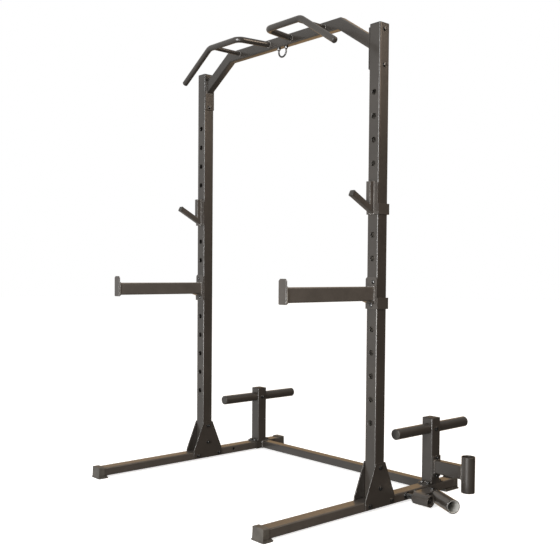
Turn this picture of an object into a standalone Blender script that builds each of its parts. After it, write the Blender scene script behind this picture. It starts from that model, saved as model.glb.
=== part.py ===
"""Half-rack power cage: a floor frame, two uprights and a bent pull-up bar, with swinging
J-hooks and spotter arms, plate pegs, a bar holder and a two-axis landmine. Metres, +Z up,
front towards -Y, right towards +X."""
import math

import bmesh
import bpy
from mathutils import Vector

# General
GAP = 0.0003                 # clearance between pieces that touch
WALL = 0.002                 # wall of the square and rectangular tubes
CORNER = 0.006               # outer corner radius of those tubes
PLATE = 0.005                # thickness of brackets and flanges
BOLT_RADIUS = 0.005
BOLT_CLEARANCE = 0.001       # radial room round a bolt in its hole
BOLT_HEAD_WIDTH = 0.017      # across the flats
BOLT_HEAD_HEIGHT = 0.0065
ROUND_SIDES = 24

# Floor frame
UPRIGHT_SPACING = 1.220      # centre to centre
UPRIGHT_SIZE = 0.060
RAIL_WIDTH = UPRIGHT_SIZE    # the gussets lie flat on both
RAIL_HEIGHT = 0.040
RAIL_LIFT = 0.010            # thickness of the pads under the rails
RAIL_FRONT = 0.655           # from the uprights to the rails' front ends
RAIL_REAR = 0.555
FRONT_PAD_LENGTH = 0.052
REAR_PAD_LENGTH = 0.100
PAD_OVERHANG = 0.008         # of the flange round each foot
PAD_FLANGE = 0.005
FOOT_CAP_THICKNESS = 0.005
SHOE_WALL = 0.002            # of the sleeve round the rail's end
SHOE_RISE = 0.005            # above the rail
SHOE_LENGTH = 0.028
SHOE_LEAN = 0.002
PLUG_DEPTH = 0.020
CAP_DEPTH = 0.012            # of the plugs in the uprights and posts
CROSS_TUBE_Y = 0.411
CROSS_TUBE_DEPTH = 0.050
FLANGE_LENGTH = 0.140

# Uprights
UPRIGHT_TOP = 2.060
CAP_RISE = 0.003
HOLE_RADIUS = 0.012
HOLE_PITCH = 0.100
HOLE_COUNT = 15
LOWEST_HOLE = 0.374
HOOK_HOLE = 10               # hole that each J-hook hangs in, counted from the lowest
SPOTTER_HOLE = 6

# Foot gussets
GUSSET_TOP = 0.155           # above the rail
GUSSET_SHOULDER = 0.008
GUSSET_DROP = 0.036          # below the rail's top
GUSSET_SPREAD = 0.092        # half its length along the rail
GUSSET_BOLT_HEIGHTS = (0.047, 0.135)

# Pull-up bar
BAR_DEPTH = 0.040
BAR_HEIGHT = 0.050
BAR_TOP = UPRIGHT_TOP + 0.077
BAR_SLOPE_RUN = 0.190        # across each sloped part
BAR_SLOPE = math.radians(33.5)
END_PLATE_WIDTH = UPRIGHT_SIZE - 0.004
END_PLATE_HEIGHT = 0.178
END_PLATE_CENTRE = UPRIGHT_TOP - 0.098
END_PLATE_BOLT_SPACING = 0.149

# Pull-up handles
HANDLE_RADIUS = 0.014
HANDLE_WALL = 0.002
HANDLE_REACH = 0.190         # in front of the uprights' centre plane
HANDLE_ROOT_X = 0.077
HANDLE_INNER_X = 0.103
HANDLE_OUTER_X = 0.325
HANDLE_END_RUN = 0.204       # across its sloped end
HANDLE_INNER_BEND = 0.035
HANDLE_OUTER_BEND = 0.050
BRACE_RADIUS = 0.010
BRACE_X = 0.300

# Band loop under the bar
LOOP_RADIUS = 0.004
LOOP_HALF_WIDTH = 0.026
LOOP_DROP = 0.044

# Hooks and spotters
BRACKET_WIDTH = UPRIGHT_SIZE + 0.002
BRACKET_CHAMFER = 0.008
STRAP_LIP = 0.018
PIN_CLEARANCE = 0.001
PIN_REACH = 0.018
HOOK_PLATE_BELOW_PIN = 0.114
HOOK_PLATE_ABOVE_PIN = 0.023
HOOK_STRAP_HEIGHT = 0.046
HORN_SIZE = 0.025
HORN_LENGTH = 0.135
HORN_ANGLE = math.radians(28)
HORN_ABOVE_PLATE_END = 0.015
HORN_POCKET = 0.030
HORN_CAP_LENGTH = 0.010
SPOTTER_PLATE_BELOW_PIN = 0.114
SPOTTER_PLATE_ABOVE_PIN = 0.022
SPOTTER_STRAP_HEIGHT = 0.048
SPOTTER_ARM_WIDTH = 0.040
SPOTTER_ARM_HEIGHT = 0.060
SPOTTER_ARM_LENGTH = 0.500
SPOTTER_ARM_BELOW_PIN = 0.049
SPOTTER_WEDGE_LENGTH = 0.036
SPOTTER_WEDGE_DROP = 0.013
STOP_WIDTH = 0.044
STOP_BELOW_ARM = 0.007
STOP_ABOVE_ARM = 0.033

# Plate storage
POST_SIZE = 0.060
POST_Y = 0.390
POST_TOP = 0.350
POST_BASE_FRONT = 0.025
PEG_RADIUS = 0.024
PEG_WALL = 0.002
PEG_HEIGHT = 0.303
PEG_HALF_LENGTH = 0.250

# Bar holder
HOLDER_RADIUS = 0.030
HOLDER_WALL = 0.003
HOLDER_X = 0.205             # from the post's centre to the holder's
HOLDER_BOTTOM = 0.045
HOLDER_TOP = 0.205
HOLDER_ARM_DEPTH = 0.040
HOLDER_ARM_HEIGHT = 0.060
HOLDER_ARM_Z = 0.130
HOLDER_PLATE_HEIGHT = 0.100

# Landmine
LANDMINE_Y = 0.182
LANDMINE_Z = 0.033
LANDMINE_BOLT_RADIUS = 0.006
RUNNING_CLEARANCE = 0.0004
BARREL_RADIUS = 0.026
BARREL_START = 0.047         # from the rail's outer side
BARREL_LENGTH = 0.086
BARREL_RECESS_RADIUS = 0.021
BARREL_RECESS_DEPTH = 0.010
CLEVIS_WIDTH = 0.060
CLEVIS_PLATE = 0.006
CLEVIS_HALF_GAP = 0.016
SWIVEL_X = 0.060             # from the rail's outer side
SWIVEL_Y = 0.106             # behind the landmine bolt
SLEEVE_RADIUS = 0.030
SLEEVE_WALL = 0.003
SLEEVE_START = 0.050         # from the swivel pin
SLEEVE_LENGTH = 0.155
SLEEVE_TURN = math.radians(-28)
SLEEVE_FLOOR = 0.008
LINER_WALL = 0.0014
LUG_HALF_WIDTH = 0.018

PAINT = (0.085, 0.080, 0.075)
PAINT_DARK = (0.060, 0.057, 0.054)
PLASTIC = (0.020, 0.020, 0.021)
LINER_GREY = (0.42, 0.43, 0.42)
STEEL = (0.25, 0.25, 0.26)

X = Vector((1, 0, 0))
Y = Vector((0, 1, 0))
Z = Vector((0, 0, 1))

HALF_SPACING = UPRIGHT_SPACING / 2
HALF_UPRIGHT = UPRIGHT_SIZE / 2
RAIL_TOP = RAIL_LIFT + RAIL_HEIGHT
RAIL_MIDDLE = RAIL_LIFT + RAIL_HEIGHT / 2
BAR_MIDDLE = BAR_TOP - BAR_HEIGHT / 2
BAR_STRAIGHT_HALF = HALF_SPACING - HALF_UPRIGHT - BAR_SLOPE_RUN


# Profiles: lists of (across, up) pairs

def circle(radius, sides=ROUND_SIDES):
    turn = 2 * math.pi / sides
    return [(radius * math.cos(turn * i), radius * math.sin(turn * i)) for i in range(sides)]


def clear_circle(radius, sides=ROUND_SIDES):
    """A circle whose flats, not its corners, lie at the radius."""
    return circle(radius / math.cos(math.pi / sides), sides)


def hexagon(width, sides=12):
    """A hexagon with a point at each corner and at the middle of each flat."""
    corner = width / math.sqrt(3)
    points = circle(corner, 6)
    middles = [
        ((a[0] + b[0]) / 2, (a[1] + b[1]) / 2)
        for a, b in zip(points, points[1:] + points[:1])
    ]
    return [p for pair in zip(points, middles) for p in pair][:sides]


def box_profile(width, height, radius=0.0, steps=3):
    if radius <= 0:
        return [(-width / 2, -height / 2), (width / 2, -height / 2),
                (width / 2, height / 2), (-width / 2, height / 2)]
    points = []
    for quarter in range(4):
        angle = math.pi / 2 * quarter
        side_x = 1 if quarter in (0, 3) else -1
        side_y = 1 if quarter in (0, 1) else -1
        for step in range(steps + 1):
            turn = angle + math.pi / 2 * step / steps
            points.append((side_x * (width / 2 - radius) + radius * math.cos(turn),
                           side_y * (height / 2 - radius) + radius * math.sin(turn)))
    return points


def tube_profiles(width, height, wall=WALL, corner=CORNER):
    outer = box_profile(width, height, corner)
    inner = box_profile(width - 2 * wall, height - 2 * wall, corner - wall)
    return outer, inner


# Rings and lofts

def ring(profile, origin, across, up):
    return [origin + across * a + up * b for a, b in profile]


def loft(rings, closed=False):
    """Skins a stack of rings. A closed stack joins its last ring to its first."""
    mesh = bmesh.new()
    rows = [[mesh.verts.new(point) for point in one] for one in rings]
    pairs = list(zip(rows, rows[1:]))
    if closed:
        pairs.append((rows[-1], rows[0]))
    for low, high in pairs:
        for i in range(len(low)):
            j = (i + 1) % len(low)
            mesh.faces.new((low[i], low[j], high[j], high[i]))
    if not closed:
        mesh.faces.new(rows[0][::-1])
        mesh.faces.new(rows[-1])
    bmesh.ops.recalc_face_normals(mesh, faces=mesh.faces)
    return mesh


def prism(profile, origin, across, up, depth):
    return loft([ring(profile, origin, across, up), ring(profile, origin + depth, across, up)])


def hollow_prism(outer, inner, origin, across, up, depth):
    ends = (origin, origin + depth)
    rings = [ring(outer, end, across, up) for end in ends]
    rings += [ring(inner, end, across, up) for end in reversed(ends)]
    return loft(rings, closed=True)


def block(low, high):
    low, high = Vector(low), Vector(high)
    size = high - low
    middle = (low + high) / 2
    profile = box_profile(size.x, size.y)
    return prism(profile, Vector((middle.x, middle.y, low.z)), X, Y, Z * size.z)


def outline_plate(points, origin, across, up, thickness):
    return prism(points, origin, across, up, across.cross(up).normalized() * thickness)


def sweep(points, profile, side):
    """Rings of a profile along a path, mitred where the path bends."""
    rings = []
    for i, point in enumerate(points):
        before = (point - points[i - 1]).normalized() if i else None
        after = (points[i + 1] - point).normalized() if i + 1 < len(points) else None
        tangent = ((before or after) + (after or before)).normalized()
        side = (side - tangent * side.dot(tangent)).normalized()
        up = tangent.cross(side)
        one = ring(profile, point, side, up)
        if before and after and (after - before).length > 1e-6:
            bend = (after - before).normalized()
            stretch = 1 / before.dot(tangent) - 1
            one = [p + bend * (p - point).dot(bend) * stretch for p in one]
        rings.append(one)
    return rings


def round_bends(corners, radii, steps=6):
    """A polyline's points with each inner corner replaced by an arc."""
    path = [corners[0]]
    for before, corner, after, radius in zip(corners, corners[1:], corners[2:], radii):
        a = (before - corner).normalized()
        b = (after - corner).normalized()
        half = a.angle(b) / 2
        centre = corner + (a + b).normalized() * radius / math.sin(half)
        start = corner + a * radius / math.tan(half) - centre
        end = corner + b * radius / math.tan(half) - centre
        path += [centre + radius * start.slerp(end, i / steps) for i in range(steps + 1)]
    return path + [corners[-1]]


# Objects

def material(name, colour, roughness=0.5, metallic=0.0):
    made = bpy.data.materials.get(name) or bpy.data.materials.new(name)
    made.use_nodes = True
    shader = made.node_tree.nodes["Principled BSDF"]
    shader.inputs["Base Color"].default_value = (*colour, 1.0)
    shader.inputs["Roughness"].default_value = roughness
    shader.inputs["Metallic"].default_value = metallic
    return made


def add(name, mesh, finish, pivot=None, smooth=True):
    """Makes an object, with its origin on a joint's axis where a pivot is given."""
    if pivot is not None:
        bmesh.ops.translate(mesh, verts=mesh.verts, vec=-Vector(pivot))
    data = bpy.data.meshes.new(name)
    mesh.to_mesh(data)
    mesh.free()
    if smooth:
        data.shade_smooth()
        data.set_sharp_from_angle(angle=math.radians(35))
    thing = bpy.data.objects.new(name, data)
    bpy.context.scene.collection.objects.link(thing)
    thing.location = pivot or (0, 0, 0)
    thing.data.materials.append(finish)
    return thing


def helper(mesh):
    """An unrendered shape that a Boolean reads."""
    data = bpy.data.meshes.new("helper")
    mesh.to_mesh(data)
    mesh.free()
    thing = bpy.data.objects.new("helper", data)
    bpy.context.scene.collection.objects.link(thing)
    thing.hide_render = True
    thing.display_type = "WIRE"
    return thing


def combine(thing, mesh, operation):
    tool = helper(mesh)
    modifier = thing.modifiers.new(operation.lower(), "BOOLEAN")
    modifier.operation = operation
    modifier.solver = "EXACT"
    modifier.object = tool


def weld(thing, *meshes):
    for mesh in meshes:
        combine(thing, mesh, "UNION")


def drill(thing, holes):
    """Cuts round holes, each given as (start, depth vector, radius)."""
    cutter = bmesh.new()
    for start, depth, radius in holes:
        along = depth.normalized()
        side = Z if abs(along.z) < 0.5 else X
        rod = prism(clear_circle(radius, 12), start, side, along.cross(side), depth)
        data = bpy.data.meshes.new("hole")
        rod.to_mesh(data)
        rod.free()
        cutter.from_mesh(data)
        bpy.data.meshes.remove(data)
    combine(thing, cutter, "DIFFERENCE")


def bolt_mesh(head, nut, along, radius=BOLT_RADIUS, width=BOLT_HEAD_WIDTH):
    """A hex bolt from the seat of its head to the seat of its nut."""
    side = Z if abs(along.z) < 0.5 else X
    up = along.cross(side)
    hexes = hexagon(width)
    shank = circle(radius, 12)
    tip = circle(radius * 0.8, 12)
    return loft([
        ring(hexes, head - along * BOLT_HEAD_HEIGHT, side, up),
        ring(hexes, head, side, up),
        ring(shank, head, side, up),
        ring(shank, nut, side, up),
        ring(hexes, nut, side, up),
        ring(hexes, nut + along * BOLT_HEAD_HEIGHT, side, up),
        ring(tip, nut + along * BOLT_HEAD_HEIGHT, side, up),
        ring(tip, nut + along * (BOLT_HEAD_HEIGHT + 0.003), side, up),
    ])


# Floor frame

def base_rail(side, name, paint):
    outer, inner = tube_profiles(RAIL_WIDTH, RAIL_HEIGHT)
    start = Vector((side * HALF_SPACING, -RAIL_FRONT, RAIL_MIDDLE))
    length = RAIL_FRONT + RAIL_REAR
    rail = add(name, hollow_prism(outer, inner, start, X, Z, Y * length), paint)
    inside = Vector((side * HALF_SPACING - RAIL_WIDTH, LANDMINE_Y, LANDMINE_Z))
    drill(rail, [(inside, X * 2 * RAIL_WIDTH, LANDMINE_BOLT_RADIUS + BOLT_CLEARANCE)])


def foot_cap(side, end, pad_length, name, plastic):
    """A shoe on a rail's end: plug, sleeve, a front that leans back, and a flanged pad."""
    tube_end = -RAIL_FRONT if end < 0 else RAIL_REAR
    middle = Vector((side * HALF_SPACING, tube_end, RAIL_MIDDLE))
    out = Y * end
    seat = middle + out * GAP
    plug = box_profile(RAIL_WIDTH - 2 * WALL - 2 * GAP, RAIL_HEIGHT - 2 * WALL - 2 * GAP,
                       CORNER - WALL)
    cap = add(name, loft([
        ring(plug, seat - out * PLUG_DEPTH, X, Z),
        ring(plug, seat + out * 0.001, X, Z),
    ]), plastic)

    shoe_width = RAIL_WIDTH + 2 * SHOE_WALL
    pad_top = RAIL_LIFT - GAP
    shoe_low = pad_top - 0.0015
    shoe_high = RAIL_TOP + SHOE_RISE
    sleeve = box_profile(shoe_width, shoe_high - shoe_low, CORNER)
    opening = box_profile(RAIL_WIDTH + 2 * GAP, RAIL_HEIGHT + 2 * GAP, CORNER)
    ends = sorted((seat.y + end * 0.001, seat.y - end * SHOE_LENGTH))
    sleeve_rings = [ring(sleeve, Vector((middle.x, y, (shoe_low + shoe_high) / 2)), X, Z) for y in ends]
    opening_rings = [ring(opening, Vector((middle.x, y, RAIL_MIDDLE)), X, Z) for y in reversed(ends)]
    foot_front = FOOT_CAP_THICKNESS - 0.0015
    low_front = box_profile(shoe_width, foot_front, 0.0012, 2)
    high_front = box_profile(shoe_width - 0.003, foot_front - SHOE_LEAN, 0.0006, 2)
    low_middle = seat + out * foot_front / 2
    high_middle = seat + out * (foot_front - SHOE_LEAN) / 2

    pad_middle = seat + out * (FOOT_CAP_THICKNESS - pad_length / 2)
    flange = box_profile(RAIL_WIDTH + 2 * PAD_OVERHANG, pad_length, 0.005, 2)
    riser = box_profile(shoe_width, pad_length - 0.004, 0.003, 2)
    weld(cap,
         loft(sleeve_rings + opening_rings, closed=True),
         loft([ring(low_front, Vector((middle.x, low_middle.y, 0.001)), X, Y),
               ring(high_front, Vector((middle.x, high_middle.y, shoe_high - 0.0005)), X, Y)]),
         prism(flange, Vector((middle.x, pad_middle.y, 0)), X, Y, Z * PAD_FLANGE),
         prism(riser, Vector((middle.x, pad_middle.y, PAD_FLANGE - 0.001)), X, Y,
               Z * (pad_top - PAD_FLANGE + 0.001)))


def rear_cross_tube(name, paint):
    """The tube between the rails, with a flange welded on each end."""
    inner_face = HALF_SPACING - RAIL_WIDTH / 2 - GAP
    outer, inner = tube_profiles(CROSS_TUBE_DEPTH, RAIL_HEIGHT)
    start = Vector((-(inner_face - PLATE / 2), CROSS_TUBE_Y, RAIL_MIDDLE))
    tube = add(name, hollow_prism(outer, inner, start, Y, Z, X * 2 * (inner_face - PLATE / 2)), paint)
    for side in (-1, 1):
        ends = sorted((side * inner_face, side * (inner_face - PLATE)))
        profile = box_profile(FLANGE_LENGTH, RAIL_HEIGHT, 0.004, 2)
        opening = box_profile(CROSS_TUBE_DEPTH - 2 * WALL - 0.004, RAIL_HEIGHT - 2 * WALL - 0.004,
                              0.002, 2)
        start = Vector((ends[0], CROSS_TUBE_Y, RAIL_MIDDLE))
        weld(tube, hollow_prism(profile, opening, start, Y, Z, X * (ends[1] - ends[0])))


def gusset(side, face, name, paint):
    """A foot plate on the inner (-1) or outer (1) face of an upright and its rail."""
    seat = side * HALF_SPACING + face * (HALF_UPRIGHT + GAP)
    outline = [
        (-GUSSET_SPREAD, -GUSSET_DROP), (GUSSET_SPREAD, -GUSSET_DROP),
        (GUSSET_SPREAD, GUSSET_SHOULDER), (HALF_UPRIGHT, GUSSET_TOP),
        (-HALF_UPRIGHT, GUSSET_TOP), (-GUSSET_SPREAD, GUSSET_SHOULDER),
    ]
    low = seat if face > 0 else seat - PLATE
    plate = add(name, outline_plate(outline, Vector((low, 0, RAIL_TOP)), Y, Z, PLATE), paint)
    heights = [RAIL_TOP + height for height in GUSSET_BOLT_HEIGHTS]
    drill(plate, [(Vector((low - PLATE, 0, height)), X * 3 * PLATE, BOLT_RADIUS + BOLT_CLEARANCE)
                  for height in heights])


# Uprights

def hole_height(number):
    return LOWEST_HOLE + HOLE_PITCH * number


def upright(side, name, paint):
    outer, inner = tube_profiles(UPRIGHT_SIZE, UPRIGHT_SIZE)
    foot = Vector((side * HALF_SPACING, 0, RAIL_TOP + GAP))
    tube = add(name, hollow_prism(outer, inner, foot, X, Y, Z * (UPRIGHT_TOP - foot.z)), paint)
    front = -HALF_UPRIGHT - WALL
    holes = [(Vector((foot.x, front, hole_height(i))), Y * 3 * WALL, HOLE_RADIUS)
             for i in range(HOLE_COUNT)]
    heights = [RAIL_TOP + height for height in GUSSET_BOLT_HEIGHTS] + end_plate_bolt_heights()
    across = Vector((foot.x - UPRIGHT_SIZE, 0, 0))
    holes += [(across + Z * height, X * 2 * UPRIGHT_SIZE, BOLT_RADIUS + BOLT_CLEARANCE)
              for height in heights]
    drill(tube, holes)


def tube_cap(name, top, size, rise, plastic):
    """A plug with a low crowned head, for the open top of a square tube."""
    plug_size = size - 2 * WALL - 2 * GAP
    plug = box_profile(plug_size, plug_size, CORNER - WALL)
    head = box_profile(size, size, CORNER)
    crown = box_profile(size - 0.014, size - 0.014, CORNER)
    seat = top + Z * GAP
    add(name, loft([
        ring(plug, seat - Z * CAP_DEPTH, X, Y),
        ring(plug, seat, X, Y),
        ring(head, seat, X, Y),
        ring(head, seat + Z * rise / 2, X, Y),
        ring(crown, seat + Z * rise, X, Y),
    ]), plastic)


def foot_bolt(side, height, name, steel):
    seat = HALF_UPRIGHT + GAP + PLATE + GAP
    middle = Vector((side * HALF_SPACING, 0, RAIL_TOP + height))
    out = X * side
    add(name, bolt_mesh(middle + out * seat, middle - out * seat, -out), steel)


# Pull-up bar

def bar_drop(distance):
    """How far the sloped part has come down at a distance from the middle."""
    return max(0.0, distance - BAR_STRAIGHT_HALF) * math.tan(BAR_SLOPE)


def bar_end():
    """Distance from the middle to the inner face of an end plate."""
    return HALF_SPACING - HALF_UPRIGHT - 2 * GAP - PLATE


def end_plate_bolt_heights():
    return [END_PLATE_CENTRE + offset * END_PLATE_BOLT_SPACING / 2 for offset in (-1, 1)]


def pullup_crossbar(name, paint):
    outer, inner = tube_profiles(BAR_DEPTH, BAR_HEIGHT)
    end = bar_end()
    path = [Vector((-end, 0, BAR_MIDDLE - bar_drop(end))),
            Vector((-BAR_STRAIGHT_HALF, 0, BAR_MIDDLE)),
            Vector((BAR_STRAIGHT_HALF, 0, BAR_MIDDLE)),
            Vector((end, 0, BAR_MIDDLE - bar_drop(end)))]
    end_stretch = 1 / math.cos(BAR_SLOPE)
    rings = []
    for profile in (outer, inner):
        rows = sweep(path, profile, Y)
        tall = [(a, b * end_stretch) for a, b in profile]
        rows[0] = ring(tall, path[0], Y, Z)
        rows[-1] = ring(tall, path[-1], Y, Z)
        rings.append(rows)
    bar = add(name, loft(rings[0] + rings[1][::-1], closed=True), paint)
    bottom = BAR_TOP - BAR_HEIGHT - WALL
    drill(bar, [(Vector((x, 0, bottom)), Z * 3 * WALL, LOOP_RADIUS + BOLT_CLEARANCE)
                for x in (-LOOP_HALF_WIDTH, LOOP_HALF_WIDTH)])


def end_plate(side, name, paint):
    seat = side * (HALF_SPACING - HALF_UPRIGHT - GAP)
    low = seat - PLATE if side > 0 else seat
    profile = box_profile(END_PLATE_WIDTH, END_PLATE_HEIGHT, 0.004, 2)
    plate = add(name, prism(profile, Vector((low, 0, END_PLATE_CENTRE)), Y, Z, X * PLATE), paint)
    drill(plate, [(Vector((low - PLATE, 0, height)), X * 3 * PLATE, BOLT_RADIUS + BOLT_CLEARANCE)
                  for height in end_plate_bolt_heights()])


def end_plate_bolt(side, height, name, steel):
    out = X * side
    middle = Vector((side * HALF_SPACING, 0, height))
    head = middle + out * (HALF_UPRIGHT + GAP)
    nut = middle - out * (HALF_UPRIGHT + 2 * GAP + PLATE)
    add(name, bolt_mesh(head, nut, -out), steel)


def handle_path(side):
    end_drop = HANDLE_END_RUN * math.tan(BAR_SLOPE)
    front = -BAR_DEPTH / 2 - GAP
    corners = [
        Vector((side * HANDLE_ROOT_X, front, BAR_MIDDLE)),
        Vector((side * HANDLE_ROOT_X, front - HANDLE_RADIUS, BAR_MIDDLE)),
        Vector((side * HANDLE_INNER_X, -HANDLE_REACH, BAR_MIDDLE)),
        Vector((side * HANDLE_OUTER_X, -HANDLE_REACH, BAR_MIDDLE)),
        Vector((side * (HANDLE_OUTER_X + HANDLE_END_RUN), -HANDLE_REACH, BAR_MIDDLE - end_drop)),
    ]
    return corners[:1] + round_bends(corners[1:], (HANDLE_INNER_BEND, HANDLE_OUTER_BEND))


def pullup_handle(side, name, paint):
    """The bent grip tube and the straight brace back to the bar."""
    path = handle_path(side)
    outer = sweep(path, circle(HANDLE_RADIUS, 16), X)
    inner = sweep(path, circle(HANDLE_RADIUS - HANDLE_WALL, 16), X)
    handle = add(name, loft(outer + inner[::-1], closed=True), paint)
    start = Vector((side * BRACE_X, -BAR_DEPTH / 2 - GAP, BAR_MIDDLE))
    length = HANDLE_REACH - HANDLE_RADIUS + HANDLE_WALL / 2 + start.y
    weld(handle, prism(circle(BRACE_RADIUS, 12), start, X, Z, -Y * length))


def handle_cap(side, name, plastic):
    """A plug with a rounded head in the open end of a grip."""
    path = handle_path(side)
    end = path[-1]
    out = (end - path[-2]).normalized()
    across = Y
    up = out.cross(across)
    plug = circle(HANDLE_RADIUS - HANDLE_WALL - GAP, 16)
    seat = end + out * GAP
    rings = [ring(plug, seat - out * PLUG_DEPTH, across, up), ring(plug, seat, across, up)]
    for turn in (0, 30, 60, 80):
        radius = HANDLE_RADIUS * math.cos(math.radians(turn))
        rise = 0.6 * HANDLE_RADIUS * math.sin(math.radians(turn))
        rings.append(ring(circle(radius, 16), seat + out * rise, across, up))
    add(name, loft(rings), plastic)


def band_loop(name, steel):
    """A U-bolt whose legs go up through the underside of the bar."""
    bottom = BAR_TOP - BAR_HEIGHT
    top = bottom + 0.012
    turn_centre = bottom - LOOP_DROP + LOOP_HALF_WIDTH
    path = [Vector((LOOP_HALF_WIDTH, 0, top))]
    for step in range(11):
        angle = math.pi * step / 10
        path.append(Vector((LOOP_HALF_WIDTH * math.cos(angle), 0,
                            turn_centre - LOOP_HALF_WIDTH * math.sin(angle))))
    path.append(Vector((-LOOP_HALF_WIDTH, 0, top)))
    add(name, loft(sweep(path, circle(LOOP_RADIUS, 8), Y)), steel)


# J-hooks and spotter arms: hang on a pin in the upright, with a strap round its outer side

def bracket_mesh(side, strap_bottom, strap_height):
    """The strap's C shape seen from above: front plate, side and rear lip."""
    near = HALF_UPRIGHT + GAP
    far = near + PLATE
    inner_edge = BRACKET_WIDTH / 2
    outline = [(-inner_edge, -far), (far, -far), (far, far), (far - STRAP_LIP, far),
               (far - STRAP_LIP, near), (near, near), (near, -near), (-inner_edge, -near)]
    origin = Vector((side * HALF_SPACING, 0, strap_bottom))
    return prism(outline, origin, X * side, Y, Z * strap_height)


def bracket(side, number, below, above, strap_height, name, paint):
    """A front plate with a strap at its foot and a pin near its top."""
    pin = hole_height(number)
    pivot = Vector((side * HALF_SPACING, 0, pin))
    low = pin - below
    near = HALF_UPRIGHT + GAP
    piece = add(name, bracket_mesh(side, low, strap_height), paint, pivot)
    half = BRACKET_WIDTH / 2
    overlap = 0.002
    outline = [(-half, low + strap_height - overlap), (half, low + strap_height - overlap),
               (half, pin + above - BRACKET_CHAMFER), (half - BRACKET_CHAMFER, pin + above),
               (BRACKET_CHAMFER - half, pin + above), (-half, pin + above - BRACKET_CHAMFER)]
    front = Vector((side * HALF_SPACING, -near - PLATE, 0))
    rod = circle(HOLE_RADIUS - PIN_CLEARANCE, 12)
    pin_start = Vector((side * HALF_SPACING, -near - PLATE / 2, pin))
    weld(piece,
         prism(outline, front, X, Z, Y * PLATE),
         prism(rod, pin_start, X, Z, Y * (PLATE / 2 + PIN_REACH)))
    return piece, pivot


def hook_frame(side):
    """Where the horn leaves the bracket, and its direction."""
    plate_end = hole_height(HOOK_HOLE) - HOOK_PLATE_BELOW_PIN
    root = Vector((side * HALF_SPACING, -HALF_UPRIGHT - PLATE - 2 * GAP,
                   plate_end + HORN_ABOVE_PLATE_END))
    return root, Vector((0, -math.cos(HORN_ANGLE), math.sin(HORN_ANGLE)))


def hook_horn(side, name, paint):
    """The bar rest: a rising horn and the upright post behind it, welded into one."""
    root, along = hook_frame(side)
    up = X.cross(along)
    up = up if up.z > 0 else -up
    profile = box_profile(HORN_SIZE, HORN_SIZE, 0.003, 2)
    pocket = box_profile(HORN_SIZE - 0.005, HORN_SIZE - 0.005, 0.001, 2)
    tip = root + along * HORN_LENGTH
    horn = add(name, loft([
        ring(profile, root, X, Z / math.cos(HORN_ANGLE)),
        ring(profile, tip, X, up),
        ring(pocket, tip, X, up),
        ring(pocket, tip - along * HORN_POCKET, X, up),
    ]), paint, Vector((side * HALF_SPACING, 0, hole_height(HOOK_HOLE))))
    top = hole_height(HOOK_HOLE) + HOOK_PLATE_ABOVE_PIN
    post = Vector((root.x, root.y - HORN_SIZE / 2, root.z))
    weld(horn, prism(profile, post, X, Y, Z * (top - root.z)))


def horn_cap(side, name, plastic):
    root, along = hook_frame(side)
    up = X.cross(along)
    up = up if up.z > 0 else -up
    plug = box_profile(HORN_SIZE - 0.005 - 2 * GAP, HORN_SIZE - 0.005 - 2 * GAP, 0.001, 2)
    face = box_profile(HORN_SIZE + 0.001, HORN_SIZE + 0.001, 0.003, 2)
    soft = box_profile(HORN_SIZE - 0.003, HORN_SIZE - 0.003, 0.003, 2)
    seat = root + along * (HORN_LENGTH + GAP)
    add(name, loft([
        ring(plug, seat - along * (HORN_POCKET / 2), X, up),
        ring(plug, seat, X, up),
        ring(face, seat, X, up),
        ring(face, seat + along * (HORN_CAP_LENGTH - 0.003), X, up),
        ring(soft, seat + along * HORN_CAP_LENGTH, X, up),
    ]), plastic, Vector((side * HALF_SPACING, 0, hole_height(HOOK_HOLE))))


def spotter_levels():
    """Bottom and top of a spotter arm."""
    bottom = hole_height(SPOTTER_HOLE) - SPOTTER_ARM_BELOW_PIN - SPOTTER_ARM_HEIGHT / 2
    return bottom, bottom + SPOTTER_ARM_HEIGHT


def spotter_bracket(side, name, paint):
    piece, pivot = bracket(side, SPOTTER_HOLE, SPOTTER_PLATE_BELOW_PIN, SPOTTER_PLATE_ABOVE_PIN,
                           SPOTTER_STRAP_HEIGHT, name, paint)
    bottom = spotter_levels()[0] - GAP
    face = -HALF_UPRIGHT - GAP - PLATE
    wedge = [(face + 0.002, bottom), (face + 0.002, bottom - SPOTTER_WEDGE_DROP - 0.002),
             (face - 0.001, bottom - SPOTTER_WEDGE_DROP), (face - SPOTTER_WEDGE_LENGTH, bottom - 0.001),
             (face - SPOTTER_WEDGE_LENGTH, bottom)]
    half = SPOTTER_ARM_WIDTH / 2
    weld(piece, prism(wedge, Vector((pivot.x - half, 0, 0)), Y, Z, X * 2 * half))


def spotter_arm(side, name, paint):
    bottom, top = spotter_levels()
    outer, inner = tube_profiles(SPOTTER_ARM_WIDTH, SPOTTER_ARM_HEIGHT)
    start = Vector((side * HALF_SPACING, -HALF_UPRIGHT - PLATE - 2 * GAP, (bottom + top) / 2))
    pivot = Vector((side * HALF_SPACING, 0, hole_height(SPOTTER_HOLE)))
    add(name, hollow_prism(outer, inner, start, X, Z, -Y * SPOTTER_ARM_LENGTH), paint, pivot)


def spotter_stop(side, name, paint):
    bottom, top = spotter_levels()
    low = bottom - STOP_BELOW_ARM
    high = top + STOP_ABOVE_ARM
    half = STOP_WIDTH / 2
    chamfer = BRACKET_CHAMFER
    outline = [(-half + 0.003, low), (half - 0.003, low), (half, low + 0.003), (half, high - chamfer),
               (half - chamfer, high), (chamfer - half, high), (-half, high - chamfer),
               (-half, low + 0.003)]
    seat = -HALF_UPRIGHT - PLATE - 3 * GAP - SPOTTER_ARM_LENGTH
    pivot = Vector((side * HALF_SPACING, 0, hole_height(SPOTTER_HOLE)))
    origin = Vector((pivot.x, seat, 0))
    add(name, prism(outline, origin, X, Z, -Y * (PLATE + 0.001)), paint, pivot)


# Plate storage and bar holder

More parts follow.
